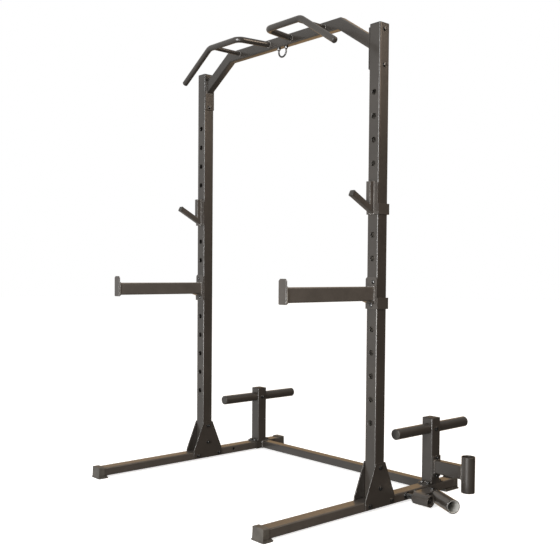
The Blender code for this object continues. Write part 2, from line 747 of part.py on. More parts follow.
def plate_post(side, name, paint):
    """A post on a base plate, with a round hole through it for the peg."""
    outer, inner = tube_profiles(POST_SIZE, POST_SIZE)
    foot = Vector((side * HALF_SPACING, POST_Y, RAIL_TOP + GAP + PLATE / 2))
    post = add(name, hollow_prism(outer, inner, foot, X, Y, Z * (POST_TOP - foot.z)), paint)
    front = POST_Y - POST_SIZE / 2 - POST_BASE_FRONT
    rear = POST_Y + POST_SIZE / 2 + POST_BASE_FRONT
    half = RAIL_WIDTH / 2
    low = RAIL_TOP + GAP
    weld(post, block((foot.x - half, front, low), (foot.x + half, rear, low + PLATE)))
    hole = clear_circle(PEG_RADIUS + GAP)
    start = Vector((foot.x, POST_Y - POST_SIZE, PEG_HEIGHT))
    combine(post, prism(hole, start, X, Z, Y * 2 * POST_SIZE), "DIFFERENCE")


def plate_peg(side, name, paint):
    start = Vector((side * HALF_SPACING, POST_Y - PEG_HALF_LENGTH, PEG_HEIGHT))
    add(name, hollow_prism(circle(PEG_RADIUS), circle(PEG_RADIUS - PEG_WALL), start, X, Z,
                           Y * 2 * PEG_HALF_LENGTH), paint)


def peg_cap(side, end, name, plastic):
    out = Y * end
    seat = Vector((side * HALF_SPACING, POST_Y, PEG_HEIGHT)) + out * (PEG_HALF_LENGTH + GAP)
    plug = circle(PEG_RADIUS - PEG_WALL - GAP)
    add(name, loft([
        ring(plug, seat - out * PLUG_DEPTH, X, Z),
        ring(plug, seat, X, Z),
        ring(circle(PEG_RADIUS), seat, X, Z),
        ring(circle(PEG_RADIUS), seat + out * 0.002, X, Z),
        ring(circle(PEG_RADIUS - 0.003), seat + out * 0.005, X, Z),
    ]), plastic)


def bar_holder(name, paint):
    """A flange on the right post, a short arm and an open upright tube."""
    post_face = HALF_SPACING + POST_SIZE / 2 + GAP
    centre_x = HALF_SPACING + HOLDER_X
    outer, inner = tube_profiles(HOLDER_ARM_DEPTH, HOLDER_ARM_HEIGHT)
    start = Vector((post_face + PLATE / 2, POST_Y, HOLDER_ARM_Z))
    reach = centre_x - HOLDER_RADIUS + HOLDER_WALL / 2 - start.x
    arm = add(name, hollow_prism(outer, inner, start, Y, Z, X * reach), paint)
    flange = box_profile(POST_SIZE - 0.004, HOLDER_PLATE_HEIGHT, 0.004, 2)
    opening = box_profile(HOLDER_ARM_DEPTH - 2 * WALL - 0.006, HOLDER_ARM_HEIGHT - 2 * WALL - 0.006,
                          0.002, 2)
    foot = Vector((centre_x, POST_Y, HOLDER_BOTTOM))
    weld(arm,
         hollow_prism(flange, opening, Vector((post_face, POST_Y, HOLDER_ARM_Z)), Y, Z, X * PLATE),
         hollow_prism(circle(HOLDER_RADIUS), circle(HOLDER_RADIUS - HOLDER_WALL), foot, X, Y,
                      Z * (HOLDER_TOP - HOLDER_BOTTOM)))


# Landmine

def rail_side():
    return HALF_SPACING + RAIL_WIDTH / 2


def landmine_axis(x):
    return Vector((x, LANDMINE_Y, LANDMINE_Z))


def swivel_point():
    return Vector((rail_side() + SWIVEL_X, LANDMINE_Y + SWIVEL_Y, LANDMINE_Z))


def landmine_bolt(name, steel):
    """The long bolt through the rail that the barrel turns on."""
    head = rail_side() + BARREL_START + BARREL_LENGTH - BARREL_RECESS_DEPTH + GAP
    nut = HALF_SPACING - RAIL_WIDTH / 2 - GAP
    add(name, bolt_mesh(landmine_axis(head), landmine_axis(nut), -X, LANDMINE_BOLT_RADIUS, 0.019), steel)


def landmine_spacer(name, steel):
    """The tube on the bolt between the rail and the barrel."""
    start = rail_side() + GAP
    length = BARREL_START - 2 * GAP
    add(name, hollow_prism(circle(0.012, 16), clear_circle(LANDMINE_BOLT_RADIUS + GAP, 16),
                           landmine_axis(start), Y, Z, X * length), steel)


def landmine_barrel(name, paint):
    """The barrel and the two clevis plates welded behind it."""
    start = rail_side() + BARREL_START
    end = start + BARREL_LENGTH
    bore = clear_circle(LANDMINE_BOLT_RADIUS + RUNNING_CLEARANCE)
    body = circle(BARREL_RADIUS)
    recess = circle(BARREL_RECESS_RADIUS)
    floor = end - BARREL_RECESS_DEPTH
    stack = ((bore, start), (body, start), (body, end), (recess, end), (recess, floor), (bore, floor))
    barrel = add(name, loft([ring(shape, landmine_axis(x), Y, Z) for shape, x in stack], closed=True),
                 paint, landmine_axis(start))
    pin = swivel_point()
    half = CLEVIS_WIDTH / 2
    outline = [(-half, -SWIVEL_Y + 0.014), (half, -SWIVEL_Y + 0.014), (half, 0)]
    outline += [(half * math.cos(math.radians(a)), half * math.sin(math.radians(a)) * 0.8)
                for a in range(20, 180, 20)]
    outline += [(-half, 0)]
    for level in (CLEVIS_HALF_GAP, -CLEVIS_HALF_GAP - CLEVIS_PLATE):
        weld(barrel, prism(outline, pin + Z * level, X, Y, Z * CLEVIS_PLATE))
    top = CLEVIS_HALF_GAP + CLEVIS_PLATE
    drill(barrel, [(pin - Z * (top + WALL), Z * 2 * (top + WALL),
                    LANDMINE_BOLT_RADIUS + RUNNING_CLEARANCE)])


def swivel_pin(name, steel):
    seat = CLEVIS_HALF_GAP + CLEVIS_PLATE + GAP
    pin = swivel_point()
    side = X
    up = Y
    head = circle(0.010, 12)
    shank = circle(LANDMINE_BOLT_RADIUS, 12)
    levels = ((head, -seat - 0.004), (head, -seat), (shank, -seat), (shank, seat), (head, seat),
              (head, seat + 0.004))
    add(name, loft([ring(shape, pin + Z * z, side, up) for shape, z in levels]), steel,
        landmine_axis(rail_side() + BARREL_START))


def sleeve_direction():
    return Vector((math.cos(SLEEVE_TURN), math.sin(SLEEVE_TURN), 0))


def landmine_sleeve(name, paint):
    """The open sleeve that takes a bar's end, with the lug that swivels on the pin."""
    pin = swivel_point()
    along = sleeve_direction()
    across = Z.cross(along)
    body = circle(SLEEVE_RADIUS)
    bore = circle(SLEEVE_RADIUS - SLEEVE_WALL)
    start = pin + along * SLEEVE_START
    end = start + along * SLEEVE_LENGTH
    floor = start + along * SLEEVE_FLOOR
    sleeve = add(name, loft([
        ring(body, start, across, Z), ring(body, end, across, Z),
        ring(bore, end, across, Z), ring(bore, floor, across, Z),
    ]), paint, pin)
    half = LUG_HALF_WIDTH
    height = CLEVIS_HALF_GAP - GAP
    outline = [(SLEEVE_START + 0.002, -half)]
    outline += [(SLEEVE_START + 0.002, half)]
    outline += [(half * math.cos(math.radians(a)), half * math.sin(math.radians(a)))
                for a in range(90, 271, 20)]
    weld(sleeve, prism(outline, pin - Z * height, along, across, Z * 2 * height))
    drill(sleeve, [(pin - Z * 2 * height, Z * 4 * height, LANDMINE_BOLT_RADIUS + RUNNING_CLEARANCE)])


def sleeve_liner(name, plastic):
    pin = swivel_point()
    along = sleeve_direction()
    across = Z.cross(along)
    outside = circle(SLEEVE_RADIUS - SLEEVE_WALL - GAP)
    inside = circle(SLEEVE_RADIUS - SLEEVE_WALL - GAP - LINER_WALL)
    start = pin + along * (SLEEVE_START + SLEEVE_FLOOR + GAP)
    length = SLEEVE_LENGTH - SLEEVE_FLOOR - 2 * GAP
    add(name, hollow_prism(outside, inside, start, across, Z, along * length), plastic, pin)


# Assembly

def build_side(side, word, paint, dark, plastic, steel):
    base_rail(side, word + "_base_rail", paint)
    foot_cap(side, -1, FRONT_PAD_LENGTH, word + "_front_foot_cap", plastic)
    foot_cap(side, 1, REAR_PAD_LENGTH, word + "_rear_foot_cap", plastic)
    upright(side, word + "_upright", paint)
    tube_cap(word + "_upright_cap", Vector((side * HALF_SPACING, 0, UPRIGHT_TOP)), UPRIGHT_SIZE,
             CAP_RISE, plastic)
    gusset(side, side, word + "_outer_gusset", paint)
    gusset(side, -side, word + "_inner_gusset", paint)
    for height, level in zip(GUSSET_BOLT_HEIGHTS, ("lower", "upper")):
        foot_bolt(side, height, f"{word}_{level}_foot_bolt", steel)
    end_plate(side, word + "_bar_end_plate", paint)
    for height, level in zip(end_plate_bolt_heights(), ("lower", "upper")):
        end_plate_bolt(side, height, f"{word}_{level}_bar_bolt", steel)
    pullup_handle(side, word + "_pullup_handle", paint)
    handle_cap(side, word + "_handle_cap", plastic)
    bracket(side, HOOK_HOLE, HOOK_PLATE_BELOW_PIN, HOOK_PLATE_ABOVE_PIN, HOOK_STRAP_HEIGHT,
            word + "_hook_bracket", dark)
    hook_horn(side, word + "_hook_horn", dark)
    horn_cap(side, word + "_horn_cap", plastic)
    spotter_bracket(side, word + "_spotter_bracket", dark)
    spotter_arm(side, word + "_spotter_arm", dark)
    spotter_stop(side, word + "_spotter_stop", dark)
    plate_post(side, word + "_plate_post", paint)
    tube_cap(word + "_post_cap", Vector((side * HALF_SPACING, POST_Y, POST_TOP)), POST_SIZE, CAP_RISE,
             plastic)
    plate_peg(side, word + "_plate_peg", paint)
    peg_cap(side, -1, word + "_peg_front_cap", plastic)
    peg_cap(side, 1, word + "_peg_rear_cap", plastic)


def stand_at_origin():
    """Moves everything so that the box's bottom centre is the origin."""
    bpy.context.view_layer.update()
    solids = [thing for thing in bpy.data.objects if not thing.hide_render]
    corners = [thing.matrix_world @ Vector(c) for thing in solids for c in thing.bound_box]
    low = [min(c[i] for c in corners) for i in range(3)]
    high = [max(c[i] for c in corners) for i in range(3)]
    shift = Vector((-(low[0] + high[0]) / 2, -(low[1] + high[1]) / 2, -low[2]))
    for thing in bpy.data.objects:
        thing.location += shift


def main():
    for thing in list(bpy.data.objects):
        bpy.data.objects.remove(thing, do_unlink=True)
    paint = material("powder_coat", PAINT, 0.45)
    dark = material("powder_coat_dark", PAINT_DARK, 0.45)
    plastic = material("black_plastic", PLASTIC, 0.55)
    grey = material("grey_nylon", LINER_GREY, 0.5)
    steel = material("zinc_steel", STEEL, 0.35, 1.0)
    for side, word in ((-1, "left"), (1, "right")):
        build_side(side, word, paint, dark, plastic, steel)
    rear_cross_tube("rear_cross_tube", paint)
    pullup_crossbar("pullup_crossbar", paint)
    band_loop("band_loop", steel)
    bar_holder("bar_holder", paint)
    landmine_bolt("landmine_bolt", steel)
    landmine_spacer("landmine_spacer", steel)
    landmine_barrel("landmine_barrel", paint)
    swivel_pin("landmine_swivel_pin", steel)
    landmine_sleeve("landmine_sleeve", paint)
    sleeve_liner("landmine_sleeve_liner", grey)
    stand_at_origin()


main()
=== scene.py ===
import math

import bmesh
import bpy
from mathutils import Matrix, Vector


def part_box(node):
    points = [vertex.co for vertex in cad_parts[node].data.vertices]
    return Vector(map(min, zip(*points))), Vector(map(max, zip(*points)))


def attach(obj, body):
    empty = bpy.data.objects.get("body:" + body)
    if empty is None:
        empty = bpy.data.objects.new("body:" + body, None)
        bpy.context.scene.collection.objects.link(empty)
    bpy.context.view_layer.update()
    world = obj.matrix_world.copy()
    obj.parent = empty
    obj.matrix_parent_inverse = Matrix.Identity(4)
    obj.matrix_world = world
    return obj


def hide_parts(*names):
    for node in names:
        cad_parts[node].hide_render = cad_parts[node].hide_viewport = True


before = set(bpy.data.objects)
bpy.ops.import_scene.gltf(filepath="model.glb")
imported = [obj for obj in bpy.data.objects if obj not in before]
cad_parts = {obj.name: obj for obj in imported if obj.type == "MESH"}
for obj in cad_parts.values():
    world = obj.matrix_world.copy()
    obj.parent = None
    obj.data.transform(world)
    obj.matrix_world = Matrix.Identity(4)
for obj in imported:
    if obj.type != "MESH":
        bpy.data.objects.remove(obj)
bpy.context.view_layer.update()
print("frame loaded")

# The rack's own lines, read from the frame
rightUprightLow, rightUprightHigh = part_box("right_upright")
middleX = (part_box("left_upright")[0].x + rightUprightHigh.x) / 2
rackY = (rightUprightLow.y + rightUprightHigh.y) / 2
uprightX = (rightUprightLow.x + rightUprightHigh.x) / 2

right, back, up = Vector((1, 0, 0)), Vector((0, 1, 0)), Vector((0, 0, 1))


def selectOnly(piece):
    if bpy.context.mode != "OBJECT":
        bpy.ops.object.mode_set(mode="OBJECT")
    bpy.ops.object.select_all(action="DESELECT")
    piece.select_set(True)
    bpy.context.view_layer.objects.active = piece


def pick(piece, kind, test):
    # opens edit mode with only the faces or edges that pass the test selected
    selectOnly(piece)
    bpy.ops.object.mode_set(mode="EDIT")
    bpy.ops.mesh.select_mode(type=kind)
    bpy.ops.mesh.select_all(action="DESELECT")
    mesh = bmesh.from_edit_mesh(piece.data)
    mesh.normal_update()
    for item in (mesh.faces if kind == "FACE" else mesh.edges):
        if test(item):
            item.select_set(True)
    bmesh.update_edit_mesh(piece.data)


def leaveEdit():
    bpy.ops.object.mode_set(mode="OBJECT")


def applyPlace(piece):
    selectOnly(piece)
    bpy.ops.object.transform_apply(location=True, rotation=True, scale=True)


def applyModifiers(piece):
    selectOnly(piece)
    for modifier in list(piece.modifiers):
        bpy.ops.object.modifier_apply(modifier=modifier.name)


def edgeAlong(direction):
    def test(edge):
        run = edge.verts[1].co - edge.verts[0].co
        return abs(run.normalized().dot(direction)) > 0.99
    return test


def faceTowards(direction):
    return lambda face: face.normal.dot(direction) > 0.9


def join(pieces):
    selectOnly(pieces[0])
    for piece in pieces[1:]:
        piece.select_set(True)
    bpy.ops.object.join()
    return bpy.context.object


def cut(piece, cutter, operation="DIFFERENCE"):
    modifier = piece.modifiers.new("cut", "BOOLEAN")
    modifier.operation = operation
    modifier.solver = "EXACT"
    modifier.object = cutter
    applyModifiers(piece)
    bpy.data.objects.remove(cutter, do_unlink=True)


def softenEdges(piece, width, steps=2, limit=48):
    # rounds the sharp edges and keeps the flat faces flat in shading
    selectOnly(piece)
    bpy.ops.object.shade_smooth_by_angle(angle=math.radians(limit))
    if width:
        bevel = piece.modifiers.new("soften", "BEVEL")
        bevel.width = width
        bevel.segments = steps
        bevel.limit_method = "ANGLE"
        bevel.angle_limit = math.radians(limit)
        bevel.harden_normals = True
    even = piece.modifiers.new("even", "WEIGHTED_NORMAL")
    even.keep_sharp = True
    applyModifiers(piece)


def finishPiece(piece, name, finish, body, nodes=(), soften=0.0006, steps=2):
    applyPlace(piece)
    softenEdges(piece, soften, steps)
    piece.name = name
    piece.data.name = name
    piece.data.materials.clear()
    piece.data.materials.append(finish)
    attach(piece, body)
    if nodes:
        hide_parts(*nodes)
    return piece


def mirrorOf(piece):
    # the left-hand twin of a right-hand piece
    twin = bpy.data.objects.new("twin", piece.data.copy())
    bpy.context.scene.collection.objects.link(twin)
    flip = Matrix.Translation(right * 2 * middleX) @ Matrix.Scale(-1, 4, right)
    twin.data.transform(flip @ piece.matrix_world)
    twin.data.flip_normals()
    return twin


def finishPair(piece, name, finish, body, nodes=(), soften=0.0006, steps=2):
    # finishes a right-hand piece, and the same for the left
    applyPlace(piece)
    twin = mirrorOf(piece)
    finishPiece(piece, "right" + name, finish, body, nodes, soften, steps)
    leftNodes = [node.replace("right_", "left_", 1) for node in nodes]
    finishPiece(twin, "left" + name, finish, body.replace("right_", "left_", 1), leftNodes, soften, steps)


def copyOfNode(node):
    # a merged copy of a CAD node, with its flat faces whole again
    piece = bpy.data.objects.new(node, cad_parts[node].data.copy())
    bpy.context.scene.collection.objects.link(piece)
    selectOnly(piece)
    bpy.ops.object.mode_set(mode="EDIT")
    bpy.ops.mesh.select_all(action="SELECT")
    bpy.ops.mesh.remove_doubles(threshold=0.00002)
    bpy.ops.mesh.select_all(action="SELECT")
    bpy.ops.mesh.dissolve_limited(angle_limit=math.radians(0.4))
    leaveEdit()
    return piece


def copyPair(node, name, finish, body, soften=0.0006):
    # both sides of a CAD piece that needs only softened edges and a finish
    finishPair(copyOfNode(node), name, finish, body, [node], soften=soften)


def rod(start, end, radius, vertices=48):
    run = end - start
    turn = run.to_track_quat("Z", "Y").to_euler()
    bpy.ops.mesh.primitive_cylinder_add(vertices=vertices, radius=radius, depth=run.length,
                                        location=(start + end) / 2, rotation=turn)
    piece = bpy.context.object
    applyPlace(piece)
    return piece


class Nodes:
    # a material's nodes, added and wired by name

    def __init__(self, name, slot):
        self.material = bpy.data.materials.new(name)
        self.material.use_nodes = True
        self.tree = self.material.node_tree
        self.shader = self.tree.nodes["Principled BSDF"]
        self.place = self.add("ShaderNodeTexCoord").outputs["Object"]

    def add(self, kind, **values):
        node = self.tree.nodes.new(kind)
        for key, value in values.items():
            if hasattr(node, key):
                setattr(node, key, value)
            else:
                node.inputs[key].default_value = value
        return node

    def wire(self, source, target):
        self.tree.links.new(source, target)

    def noise(self, scale, detail=2.0, rough=0.5):
        node = self.add("ShaderNodeTexNoise")
        node.inputs["Scale"].default_value = scale
        node.inputs["Detail"].default_value = detail
        node.inputs["Roughness"].default_value = rough
        self.wire(self.place, node.inputs["Vector"])
        return node.outputs["Fac"]

    def between(self, value, low, high, start, end):
        node = self.add("ShaderNodeMapRange")
        for name, number in (("From Min", low), ("From Max", high), ("To Min", start), ("To Max", end)):
            node.inputs[name].default_value = number
        self.wire(value, node.inputs["Value"])
        return node.outputs["Result"]

    def ramp(self, value, stops):
        node = self.add("ShaderNodeValToRGB")
        elements = node.color_ramp.elements
        while len(elements) < len(stops):
            elements.new(0.5)
        for element, (position, colour) in zip(elements, stops):
            element.position = position
            element.color = (*colour, 1.0)
        self.wire(value, node.inputs["Fac"])
        return node.outputs["Color"]

    def mix(self, factor, first, second, blend="MIX"):
        node = self.add("ShaderNodeMix")
        node.data_type = "RGBA"
        node.blend_type = blend
        colours = [socket for socket in node.inputs if socket.type == "RGBA"]
        if isinstance(factor, float):
            node.inputs[0].default_value = factor
        else:
            self.wire(factor, node.inputs[0])
        for socket, value in zip(colours, (first, second)):
            if isinstance(value, tuple):
                socket.default_value = (*value, 1.0)
            else:
                self.wire(value, socket)
        return [socket for socket in node.outputs if socket.type == "RGBA"][0]

    def maths(self, operation, first, second):
        node = self.add("ShaderNodeMath")
        node.operation = operation
        for socket, value in zip(node.inputs, (first, second)):
            if isinstance(value, (int, float)):
                socket.default_value = value
            else:
                self.wire(value, socket)
        return node.outputs["Value"]

    def edgeMask(self, radius, narrow=0.93, wide=0.70):
        # 1 on outside edges and 0 on flats, from how far a rounded normal leans
        soft = self.add("ShaderNodeBevel", samples=6)
        soft.inputs["Radius"].default_value = radius
        flat = self.add("ShaderNodeNewGeometry")
        dot = self.add("ShaderNodeVectorMath", operation="DOT_PRODUCT")
        self.wire(soft.outputs["Normal"], dot.inputs[0])
        self.wire(flat.outputs["True Normal"], dot.inputs[1])
        return self.between(dot.outputs["Value"], narrow, wide, 0.0, 1.0)

    def bump(self, layers):
        normal = None
        for height, strength, distance in layers:
            node = self.add("ShaderNodeBump")
            node.inputs["Strength"].default_value = strength
            node.inputs["Distance"].default_value = distance
            self.wire(height, node.inputs["Height"])
            if normal:
                self.wire(normal, node.inputs["Normal"])
            normal = node.outputs["Normal"]
        self.wire(normal, self.shader.inputs["Normal"])


def powderCoat(name, slot, colour, roughness):
    # textured powder coat: cloudy tone, metal flake, orange peel, and rubbed edges
    paint = Nodes(name, slot)
    dark = tuple(c * 0.80 for c in colour)
    light = tuple(c * 1.22 for c in colour)
    flake = tuple(c * 3.2 for c in colour)
    rubbed = tuple(c * 2.6 + 0.01 for c in colour)
    tone = paint.ramp(paint.noise(5.0, 5.0, 0.6), ((0.30, dark), (0.70, light)))
    speck = paint.between(paint.noise(2400.0, 1.0), 0.64, 0.74, 0.0, 0.35)
    grain = paint.noise(1100.0, 2.0, 0.6)
    scuff = paint.between(paint.noise(38.0, 6.0, 0.72), 0.47, 0.66, 0.0, 0.75)
    wear = paint.maths("MULTIPLY", paint.edgeMask(0.0011), scuff)
    coloured = paint.mix(speck, tone, flake)
    paint.wire(paint.mix(wear, coloured, rubbed), paint.shader.inputs["Base Color"])
    satin = paint.between(paint.noise(60.0, 4.0, 0.6), 0.3, 0.7, roughness - 0.05, roughness + 0.09)
    polished = paint.maths("MULTIPLY", wear, 0.12)
    paint.wire(paint.maths("SUBTRACT", satin, polished), paint.shader.inputs["Roughness"])
    paint.shader.inputs["Specular IOR Level"].default_value = 0.5
    paint.shader.inputs["Coat Weight"].default_value = 0.8
    paint.shader.inputs["Coat Roughness"].default_value = 0.17
    paint.bump(((paint.noise(230.0, 1.5), 0.10, 0.0004), (grain, 0.12, 0.00010)))
    return paint.material


def mouldedPlastic(name, slot, colour, roughness):
    # fine spark-eroded mould texture with faint flow marks, and a painted highlight along the rounded edges
    plastic = Nodes(name, slot)
    dark = tuple(c * 0.8 for c in colour)
    light = tuple(c * 1.3 + 0.002 for c in colour)
    tone = plastic.ramp(plastic.noise(22.0, 3.0, 0.6), ((0.35, dark), (0.68, light)))
    # edges mixed towards a pale colour: painted highlight
    paintedRimHighlight = plastic.maths("MULTIPLY", plastic.edgeMask(0.0010), 0.4)
    pale = tuple(c * 2.2 + 0.01 for c in colour)
    plastic.wire(plastic.mix(paintedRimHighlight, tone, pale), plastic.shader.inputs["Base Color"])
    gloss = plastic.between(plastic.noise(90.0, 3.0), 0.3, 0.7, roughness - 0.06, roughness + 0.06)
    plastic.wire(gloss, plastic.shader.inputs["Roughness"])
    plastic.bump(((plastic.noise(1500.0, 2.0), 0.35, 0.0001), (plastic.noise(45.0, 1.0), 0.1, 0.0008)))
    return plastic.material


def platedSteel(name, slot, colour, roughness):
    # zinc plate with turning marks, a cloudy bloom and bright worn corners
    steel = Nodes(name, slot)
    dull = tuple(c * 0.62 for c in colour)
    bright = tuple(min(1.0, c * 1.5) for c in colour)
    tone = steel.ramp(steel.noise(140.0, 4.0, 0.65), ((0.32, dull), (0.66, colour)))
    worn = steel.maths("MULTIPLY", steel.edgeMask(0.0007), 0.7)
    steel.wire(steel.mix(worn, tone, bright), steel.shader.inputs["Base Color"])
    steel.shader.inputs["Metallic"].default_value = 1.0
    gloss = steel.between(steel.noise(260.0, 3.0), 0.3, 0.7, roughness - 0.07, roughness + 0.10)
    steel.wire(gloss, steel.shader.inputs["Roughness"])
    steel.bump(((steel.noise(900.0, 3.0), 0.2, 0.0001),))
    return steel.material


frameCoat = powderCoat("frameCoat", "powder_coat", (0.029, 0.0245, 0.0205), 0.36)
hookCoat = powderCoat("hookCoat", "powder_coat_dark", (0.044, 0.038, 0.033), 0.32)
# a lighter copy of the frame paint for the base rails: painted light for the low light falling on their
# sides
railCoatPaintedLight = powderCoat("railCoatPaintedLight", "powder_coat", (0.052, 0.045, 0.039), 0.38)
# a lighter, less warm paint for the spotter arms: partly their own finish, partly painted light for the
# light on their sides
armCoatAndPaintedLight = powderCoat("armCoatAndPaintedLight", "powder_coat_dark", (0.068, 0.060, 0.053), 0.36)
# the frame paint made several times lighter for the weld beads: painted highlight on the welds, not their
# own colour
weldCoatPaintedHighlight = powderCoat("weldCoatPaintedHighlight", "powder_coat", (0.11, 0.10, 0.09), 0.22)
blackPlastic = mouldedPlastic("blackPlastic", "black_plastic", (0.022, 0.022, 0.023), 0.48)
greyPlastic = mouldedPlastic("greyPlastic", "black_plastic", (0.040, 0.037, 0.033), 0.38)
footPlastic = mouldedPlastic("footPlastic", "black_plastic", (0.066, 0.060, 0.052), 0.40)
greyNylon = mouldedPlastic("greyNylon", "grey_nylon", (0.42, 0.42, 0.40), 0.45)
blackZinc = platedSteel("blackZinc", "zinc_steel", (0.15, 0.15, 0.15), 0.24)
# pale steel for the upright linings: partly bare steel, partly painted light for the lit inside of the tubes
bareSteelPaintedLight = platedSteel("bareSteelPaintedLight", "powder_coat", (0.45, 0.43, 0.40), 0.45)
print("materials made")


fastener = {
    "acrossFlats": 0.0155, "headHeight": 0.0049, "headChamfer": 0.0010,
    "washerRadius": 0.0105, "washerHeight": 0.0013,
    "nutHeight": 0.0072, "threadRadius": 0.0046, "threadStand": 0.0034, "threadPitch": 0.0014,
    "domeRadius": 0.0085, "domeHeight": 0.0046, "socketRadius": 0.0036, "socketDepth": 0.0022,
}


def washer():
    ring = rod(Vector(), up * fastener["washerHeight"], fastener["washerRadius"], 40)
    pick(ring, "FACE", faceTowards(up))
    bpy.ops.mesh.inset(thickness=fastener["washerRadius"] * 0.12, depth=0)
    bpy.ops.mesh.inset(thickness=0.0004, depth=-0.0002)
    leaveEdit()
    return ring


def hexPrism(bottom, height):
    corner = fastener["acrossFlats"] / math.sqrt(3)
    prism = rod(up * bottom, up * (bottom + height), corner, 6)
    top = bottom + height
    pick(prism, "EDGE", lambda e: all(abs(v.co.z - top) < 1e-5 for v in e.verts))
    bpy.ops.mesh.bevel(offset=fastener["headChamfer"], segments=3, affect="EDGES")
    pick(prism, "FACE", lambda f: f.normal.z > 0.99)
    bpy.ops.mesh.inset(thickness=0.0012, depth=0)
    bpy.ops.mesh.inset(thickness=0.0004, depth=0.0002)
    leaveEdit()
    return prism


def boltHead():
    return join([washer(), hexPrism(fastener["washerHeight"], fastener["headHeight"])])


def nutEnd():
    # a nut on its washer, with the bolt's threaded end standing out
    base = fastener["washerHeight"]
    nut = hexPrism(base, fastener["nutHeight"])
    top = base + fastener["nutHeight"]
    thread = rod(up * (top - 0.001), up * (top + 0.0002), fastener["threadRadius"], 24)
    pick(thread, "FACE", faceTowards(up))
    for turn in range(int(fastener["threadStand"] / fastener["threadPitch"])):
        half = fastener["threadPitch"] / 2
        for factor in (0.90, 1 / 0.90):
            bpy.ops.mesh.extrude_region_move(TRANSFORM_OT_translate={"value": (0, 0, half)})
            bpy.ops.transform.resize(value=(factor, factor, 1))
    bpy.ops.mesh.extrude_region_move(TRANSFORM_OT_translate={"value": (0, 0, 0.0005)})
    bpy.ops.transform.resize(value=(0.82, 0.82, 1))
    leaveEdit()
    return join([washer(), nut, thread])


def domeHead():
    # a low button head with a hex socket
    radius, height = fastener["domeRadius"], fastener["domeHeight"]
    bpy.ops.mesh.primitive_uv_sphere_add(segments=36, ring_count=20, radius=radius)
    dome = bpy.context.object
    selectOnly(dome)
    bpy.ops.object.mode_set(mode="EDIT")
    bpy.ops.mesh.select_all(action="SELECT")
    bpy.ops.mesh.bisect(plane_co=(0, 0, 0), plane_no=(0, 0, 1), use_fill=True, clear_inner=True)
    leaveEdit()
    dome.scale = (1, 1, height / radius)
    applyPlace(dome)
    socket = rod(up * (height - fastener["socketDepth"]), up * (height + 0.002),
                 fastener["socketRadius"], 6)
    cut(dome, socket)
    return dome


patterns = {"bolt": boltHead(), "nut": nutEnd(), "dome": domeHead()}


def fit(kind, place, out, name, body, nodes=(), finish=None):
    # one copy of a fastener, seated at a place and standing out of a face
    piece = bpy.data.objects.new(name, patterns[kind].data.copy())
    bpy.context.scene.collection.objects.link(piece)
    turn = out.to_track_quat("Z", "Y").to_matrix().to_4x4()
    piece.data.transform(Matrix.Translation(place) @ turn)
    finishPiece(piece, name, finish or blackZinc, body, nodes, soften=0.00025, steps=1)
    return piece


def fitPair(kind, place, out, name, body, nodes=(), finish=None):
    fit(kind, place, out, "right" + name, body, nodes, finish)
    mirrored = Vector((2 * middleX - place.x, place.y, place.z))
    leftNodes = [node.replace("right_", "left_", 1) for node in nodes]
    fit(kind, mirrored, Vector((-out.x, out.y, out.z)), "left" + name,
        body.replace("right_", "left_", 1), leftNodes, finish)


weld = {"radius": 0.0030, "pitch": 0.0026, "flat": 0.72, "segments": 12, "rings": 8}


def weldRipple(place, along, size):
    # one solidified ripple of a bead, squashed along its run
    bpy.ops.mesh.primitive_uv_sphere_add(
        segments=weld["segments"], ring_count=weld["rings"], radius=weld["radius"] * size,
        location=place, rotation=along.to_track_quat("Z", "Y").to_euler())
    ripple = bpy.context.object
    ripple.scale = (1, 1, weld["flat"])
    applyPlace(ripple)
    return ripple


def weldLine(start, end, size=1.0):
    run = end - start
    count = max(2, int(run.length / (weld["pitch"] * size)))
    bead = weldRipple(start, run, size)
    row = bead.modifiers.new("row", "ARRAY")
    row.count = count + 1
    row.use_relative_offset = False
    row.use_constant_offset = True
    row.constant_offset_displace = run / count
    applyModifiers(bead)
    return bead


def weldRing(centre, axis, radius, size=1.0):
    side = axis.orthogonal().normalized()
    count = int(2 * math.pi * radius / (weld["pitch"] * size))
    bead = weldRipple(centre + side * radius, axis.cross(side), size)
    pick(bead, "FACE", lambda face: True)
    bpy.ops.mesh.spin(steps=count - 1, dupli=True, angle=2 * math.pi * (count - 1) / count,
                      center=centre, axis=axis)
    leaveEdit()
    return bead


def weldLoop(corners, size=1.0):
    pairs = zip(corners, corners[1:] + corners[:1])
    return join([weldLine(a, b, size) for a, b in pairs])


upright = {
    "wall": 0.002, "corner": 0.006, "cornerSteps": 6,
    "holeRadius": 0.012, "holePitch": 0.100, "holeCount": 15, "lowestHole": 0.374,
}


def squareTube(low, high, along, sizes=upright):
    bpy.ops.mesh.primitive_cube_add(size=1, location=(low + high) / 2, scale=high - low)
    tube = bpy.context.object
    applyPlace(tube)
    pick(tube, "EDGE", edgeAlong(along))
    bpy.ops.mesh.bevel(offset=sizes["corner"], segments=sizes["cornerSteps"], affect="EDGES")
    pick(tube, "FACE", lambda face: abs(face.normal.dot(along)) > 0.9)
    bpy.ops.mesh.delete(type="FACE")
    leaveEdit()
    wall = tube.modifiers.new("wall", "SOLIDIFY")
    wall.thickness = sizes["wall"]
    wall.offset = -1
    wall.use_even_offset = True
    applyModifiers(tube)
    return tube


